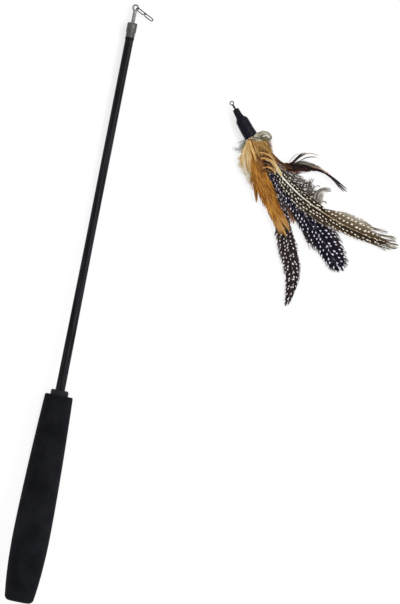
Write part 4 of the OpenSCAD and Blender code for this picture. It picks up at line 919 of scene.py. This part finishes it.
# The pale grey tuft on the other side of the mouth.
tuft_side = [(0.15, 0.2), (0.4, 0.4), (0.7, 0.5), (1.0, 0.2)]
wisp_look = hackle_finish("wisp", (150, 154, 154), (198, 202, 200), (236, 238, 236))
feather("tuft", "tuft_down", "grey_tuft", "feather_pale_grey", (0.3, 0.1), [wisp_look, dark_rib,
    hackle_finish("wisp_grey", (96, 100, 98), (150, 154, 150), (214, 216, 212))],
    both("tuft", tuft_side, tuft_side, 131, **dict(down, pitch=0.36)),
    wisp([(247, 141.5, 4.6), (243.5, 146, 3.8), (239, 148.5, 3.2), (235.5, 148, 2.8), (232.8, 145.6, 2.6)], 9, 0.6,
        0.28, 0.1, 133),
    wisp([(247, 140.5, 4.6), (244.5, 139.8, 4.2), (241.5, 140.6, 3.8), (238.5, 143.4, 3.4)], 12, 0.7, 0.26, 0.1, 134),
    wisp([(247, 142.5, 4.4), (243, 145.5, 3.8), (239, 148.6, 3.2), (236, 151.6, 2.8)], 26, 1.5, 0.22, 0.08, 135, 2,
        shortest=0.5, tone=(0.3, 1.0)),
    wisp([(247, 141, 4.4), (244, 142, 4), (240.5, 143.5, 3.6), (238, 146, 3)], 18, 1.2, 0.2, 0.08, 136, 2,
        shortest=0.5, tone=(0.3, 1.0)))

# ---- lure fitting -----------------------------------------------------------------------------------

SLEEVE_IN = [(4.8, 0.0), (4.7, -4), (4.3, -15.3), (0.88, -15.5), (0.88, -26.2)]    # (radius, place) inside
SLEEVE_END = [(2.3, -26.2), (2.4, -25.9)]                                          # the rounded end of the neck
SLEEVE_LIP = [(5.4, -0.15), (5.3, 0.0)]
SLEEVE_FLAT = 1.07             # the soft tube lies a little flattened
SHOULDER_AT, SHOULDER_LONG = -19.4, 4.2
CREASES_AT, CREASES_LONG = -17.5, 4.0    # where the creases are deepest, and how far they reach
LOOP_R, LOOP_WIRE, LOOP_AT = 1.5, 0.4, -32.0             # the wire eye, its wire's radius and its place
STRAND_R, STRAND_PITCH, STRAND_FROM, STRAND_TO = 0.47, 4.0, -30.5, -14.05
STRAND_SIDE, STRAND_LIFT = 0.5, 0.44     # how far a strand's middle goes from the axis, across and up


def sleeve():
    """The shrink sleeve: its profile run round the axis, drawn in by creases round the shoulder."""
    ease = np.linspace(0, 1, 9)
    neck = np.stack([np.linspace(2.42, 2.8, 8), np.linspace(-25.3, -20, 8)], -1)
    shoulder = np.stack([2.85 + 2.05 * ease**2 * (3 - 2 * ease), SHOULDER_AT + SHOULDER_LONG * ease], -1)
    barrel = np.stack([np.linspace(4.92, 5.36, 16), np.linspace(-14.6, -0.4, 16)], -1)
    skin = lathe(np.vstack([SLEEVE_END, neck, shoulder, barrel, SLEEVE_LIP, SLEEVE_IN]), 72)
    v = skin["verts"]
    x, turn, r = v[:, 0], np.arctan2(v[:, 2], v[:, 1]), np.hypot(v[:, 1], v[:, 2])
    near = np.exp(-((x - CREASES_AT) / CREASES_LONG) ** 2)
    fold = 0.16 * near * np.sin(5 * turn + 0.35 * x) + 0.07 * np.sin(3 * turn - 0.5 * x + 1.0) \
        + 0.05 * np.sin(7 * turn + 1.3 * x)
    outside = (r > 2.1) & (x < -0.3)
    v[:, 1:] *= (1 + np.where(outside, np.minimum(fold, 0.05) / np.maximum(r, 1), 0))[:, None]
    v[:, 1] *= SLEEVE_FLAT
    skin["verts"] = in_lure(v + (0, 0, SLEEVE_UP))
    return skin


def twisted(phase):
    """One of the two strands of the lure's wire: a helix about the sleeve's axis."""
    x = np.linspace(STRAND_FROM, STRAND_TO, 90)
    a = np.radians(phase) + ROUND * (x - STRAND_FROM) / STRAND_PITCH
    line = np.stack([x, STRAND_SIDE * np.cos(a), STRAND_LIFT * np.sin(a) + SLEEVE_UP], -1)
    return tube(in_lure(line), STRAND_R, 10)


def loop(sides=14, steps=72):
    """The closed eye of the lure's wire, lying flat: a circle carried round a circle."""
    turn = np.linspace(0, ROUND, steps, endpoint=False)[:, None]
    ring = np.linspace(0, ROUND, sides, endpoint=False)[None]
    r = LOOP_R + LOOP_WIRE * np.cos(ring)
    grid = np.stack([r * np.cos(turn), r * np.sin(turn), LOOP_WIRE * np.sin(ring) + 0 * turn], -1)
    return part(in_lure(grid + (LOOP_AT, 0, SLEEVE_UP)), hoop_faces(steps, sides), np.zeros((steps * sides, 2)))


wire_look = metal_finish("lure_wire", (34, 33, 31), (94, 92, 86), 0.46, (900, 900, 900))
make("lure_wire_eye", [loop(), twisted(0), twisted(180)], [wire_look], "lure", "lure_eye", slot="lure_wire")
make("sleeve_skin", [sleeve()], [shrink_finish()], "lure", "lure_sleeve", slot="sleeve_black")

# ---- snap -------------------------------------------------------------------------------------------

SNAP_R, SNAP_SIDE = 0.425, 2.025         # the wire's radius, and half the snap's width
SNAP_NEAR, SNAP_FAR = 2.9, 15.5          # the middles of the two end bends
HOOK_LIFT, HOOK_GAP = 0.95, 1.05         # how high a hook passes over the spine, and from hook to hook
BEND_STEP = 0.1                          # an arm starts so far inside its bend's middle
ARM = [(0, -1, 0), (0.35, -1, 0), (0.7, -0.9, 0.12), (0.92, -0.4, 0.6), (1, 0.3, 1), (1, 1, 1), (1, 1.42, 0.75),
       (1, 1.5, 0.2)]          # shares of the arm's length, of half the snap's width and of the hook's lift


def arm(start, crossing):
    """An arm of the snap: along the open side, over the spine and down behind it."""
    line = smooth_line([(start + a * (crossing - start), b * SNAP_SIDE, c * HOOK_LIFT) for a, b, c in ARM], 8)
    return tube(in_snap(line), SNAP_R, 16)


def spine():
    """The spine of the snap: half a circle round each end, joined by the straight side."""
    a = np.radians(np.linspace(270, 90, 33))
    near = np.stack([SNAP_NEAR + SNAP_SIDE * np.cos(a), SNAP_SIDE * np.sin(a), 0 * a], -1)
    far = np.stack([SNAP_FAR - SNAP_SIDE * np.cos(a[::-1]), SNAP_SIDE * np.sin(a[::-1]), 0 * a], -1)
    return tube(in_snap(np.vstack([near, far])), SNAP_R, 16)


snap_look = metal_finish("snap_wire", (18, 18, 19), (58, 58, 60), 0.34, (1200, 1200, 300))
middle = (SNAP_NEAR + SNAP_FAR) / 2
for name, wire, body, node in (
        ("snap_back", spine(), "snap", "snap_spine"),
        ("snap_near_wire", arm(SNAP_NEAR + BEND_STEP, middle - HOOK_GAP / 2), "snap_near", "snap_arm_near"),
        ("snap_far_wire", arm(SNAP_FAR - BEND_STEP, middle + HOOK_GAP / 2), "snap_far", "snap_arm_far")):
    make(name, [wire], [snap_look], body, node, slot="snap_wire")

# ---- finishes of the pieces that stay as they are ----------------------------------------------------

KEPT = {
    "grip": foam_finish(),
    "grip_collar": rubber_finish("collar_rubber", (30, 31, 34), (44, 45, 48), 0.5),
    "rod": blank_finish(),
    "rod_end_ring": rubber_finish("ring_black", (8, 8, 9), (16, 16, 18), 0.5),
    "tip_ferrule": metal_finish("ferrule_plate", (72, 72, 72), (112, 112, 110), 0.5, (1200, 120, 1200), 0.25),
    "swivel_eye": metal_finish("swivel_plate", (116, 116, 114), (158, 158, 155), 0.46, (900, 200, 900), 0.2),
    "swivel_washer": metal_finish("washer_brass", (150, 116, 60), (196, 160, 92), 0.35, (700, 700, 700)),
    "quill_binding": rubber_finish("set_glue", (120, 104, 78), (160, 142, 112), 0.4),
}
for name, finish in KEPT.items():
    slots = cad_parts[name].data.materials
    slots.clear()
    slots.append(finish)

# ---- floor, light and camera ------------------------------------------------------------------------

VIEW_AT = (-18.62, 19.93)      # the point at the middle of the picture
VIEW_UP = 5000.0               # a long lens from far away, as the photo shows no perspective
VIEW_HIGH = 496.5              # what the picture's height takes in
LAMP_AT = (1.1, 0.35, 1.3)     # to the picture's right, up in it and above the floor, in metres
LAMP_SIZE, LAMP_WATTS = 0.7, 12.0
FLOOR_HALF, FLOOR_UP = 3, -0.0002        # in metres
SHADE_DEEP, SHADE_FROM = 0.33, 0.57      # how deep the soft shadow is, and the floor's own light in it
SHADE_TURN, SHADE_LEAN = 15, (0.85, 0.53)               # the way that the soft shadow looks for the object
SHADE_REACH = 0.008                      # and how far, in metres


def floor():
    """The white floor: it keeps a faint wide shadow, and a narrow soft one on the side away from the lamp."""
    f = Finish("floor_white")
    path = f.node("LightPath").outputs
    seen = path["Is Camera Ray"]
    matt = f.node("BsdfDiffuse", {"Color": f.mix(seen, (0.8, 0.8, 0.8, 1), (0.14, 0.14, 0.14, 1))})
    a = math.radians(VIEW_TURN + SHADE_TURN)
    lean = f.join(SHADE_LEAN[0] * math.cos(a), SHADE_LEAN[0] * math.sin(a), SHADE_LEAN[1])
    near = f.node("AmbientOcclusion", {"Distance": SHADE_REACH, "Normal": lean}).outputs["AO"]
    shade = f.sum("ADD", f.times(near, SHADE_DEEP), SHADE_FROM)
    lift = f.node("Emission", {"Color": (1, 1, 1, 1), "Strength": f.times(seen, shade)})
    both_lights = f.node("AddShader", {0: matt.outputs[0], 1: lift.outputs[0]})
    white = f.node("Emission", {"Color": (1, 1, 1, 1), "Strength": 1.0})
    pick = f.node("MixShader", {0: f.sum("MAXIMUM", path["Is Glossy Ray"], path["Is Transmission Ray"]),
                                1: both_lights.outputs[0], 2: white.outputs[0]})
    f.put(f.tree.nodes["Material Output"].inputs[0], pick.outputs[0])
    mesh = bpy.data.meshes.new("floor")
    mesh.from_pydata([(x * FLOOR_HALF, y * FLOOR_HALF, FLOOR_UP) for x, y in ((-1, -1), (1, -1), (1, 1), (-1, 1))],
                     [], [(0, 1, 2, 3)])
    mesh.materials.append(f.material)
    placed("floor", mesh)


def lamp():
    """A square lamp placed in the picture's directions, pointing at its middle."""
    right, ahead, up = LAMP_AT
    c, s = math.cos(math.radians(VIEW_TURN)), math.sin(math.radians(VIEW_TURN))
    x, y = right * c - ahead * s, right * s + ahead * c
    light = bpy.data.lights.new("key", "AREA")
    light.energy, light.size = LAMP_WATTS, LAMP_SIZE
    holder = placed("key", light)
    holder.location = (VIEW_AT[0] * MM + x, VIEW_AT[1] * MM + y, up)
    holder.rotation_euler = (math.atan2(math.hypot(x, y), up), 0, math.atan2(y, x) + math.pi / 2)


def sky():
    """White to the camera, and otherwise brighter overhead than at the walls."""
    world = bpy.data.worlds.new("studio")
    bpy.context.scene.world = world
    world.use_nodes = True
    w = Tree(world.node_tree)
    back = w.tree.nodes["Background"].inputs
    back["Color"].default_value = (1, 1, 1, 1)
    high = w.split(w.node("TexCoord").outputs["Generated"])[2]
    fade = w.spread(high, 0.0, 0.8, 0.3, 0.85, kind="LINEAR")
    w.put(back["Strength"], w.sum("MAXIMUM", w.node("LightPath").outputs["Is Camera Ray"], fade))


floor()
lamp()
sky()
camera = bpy.data.cameras.new("camera")
camera.sensor_fit = "VERTICAL"
camera.angle = 2 * math.atan(VIEW_HIGH / 2 / VIEW_UP)
camera.clip_start, camera.clip_end = 0.01, 20
eye_point = placed("camera", camera)
eye_point.location = (VIEW_AT[0] * MM, VIEW_AT[1] * MM, VIEW_UP * MM)
eye_point.rotation_euler = (0, 0, math.radians(VIEW_TURN))
bpy.context.scene.camera = eye_point
bpy.context.scene.view_settings.view_transform = "Standard"
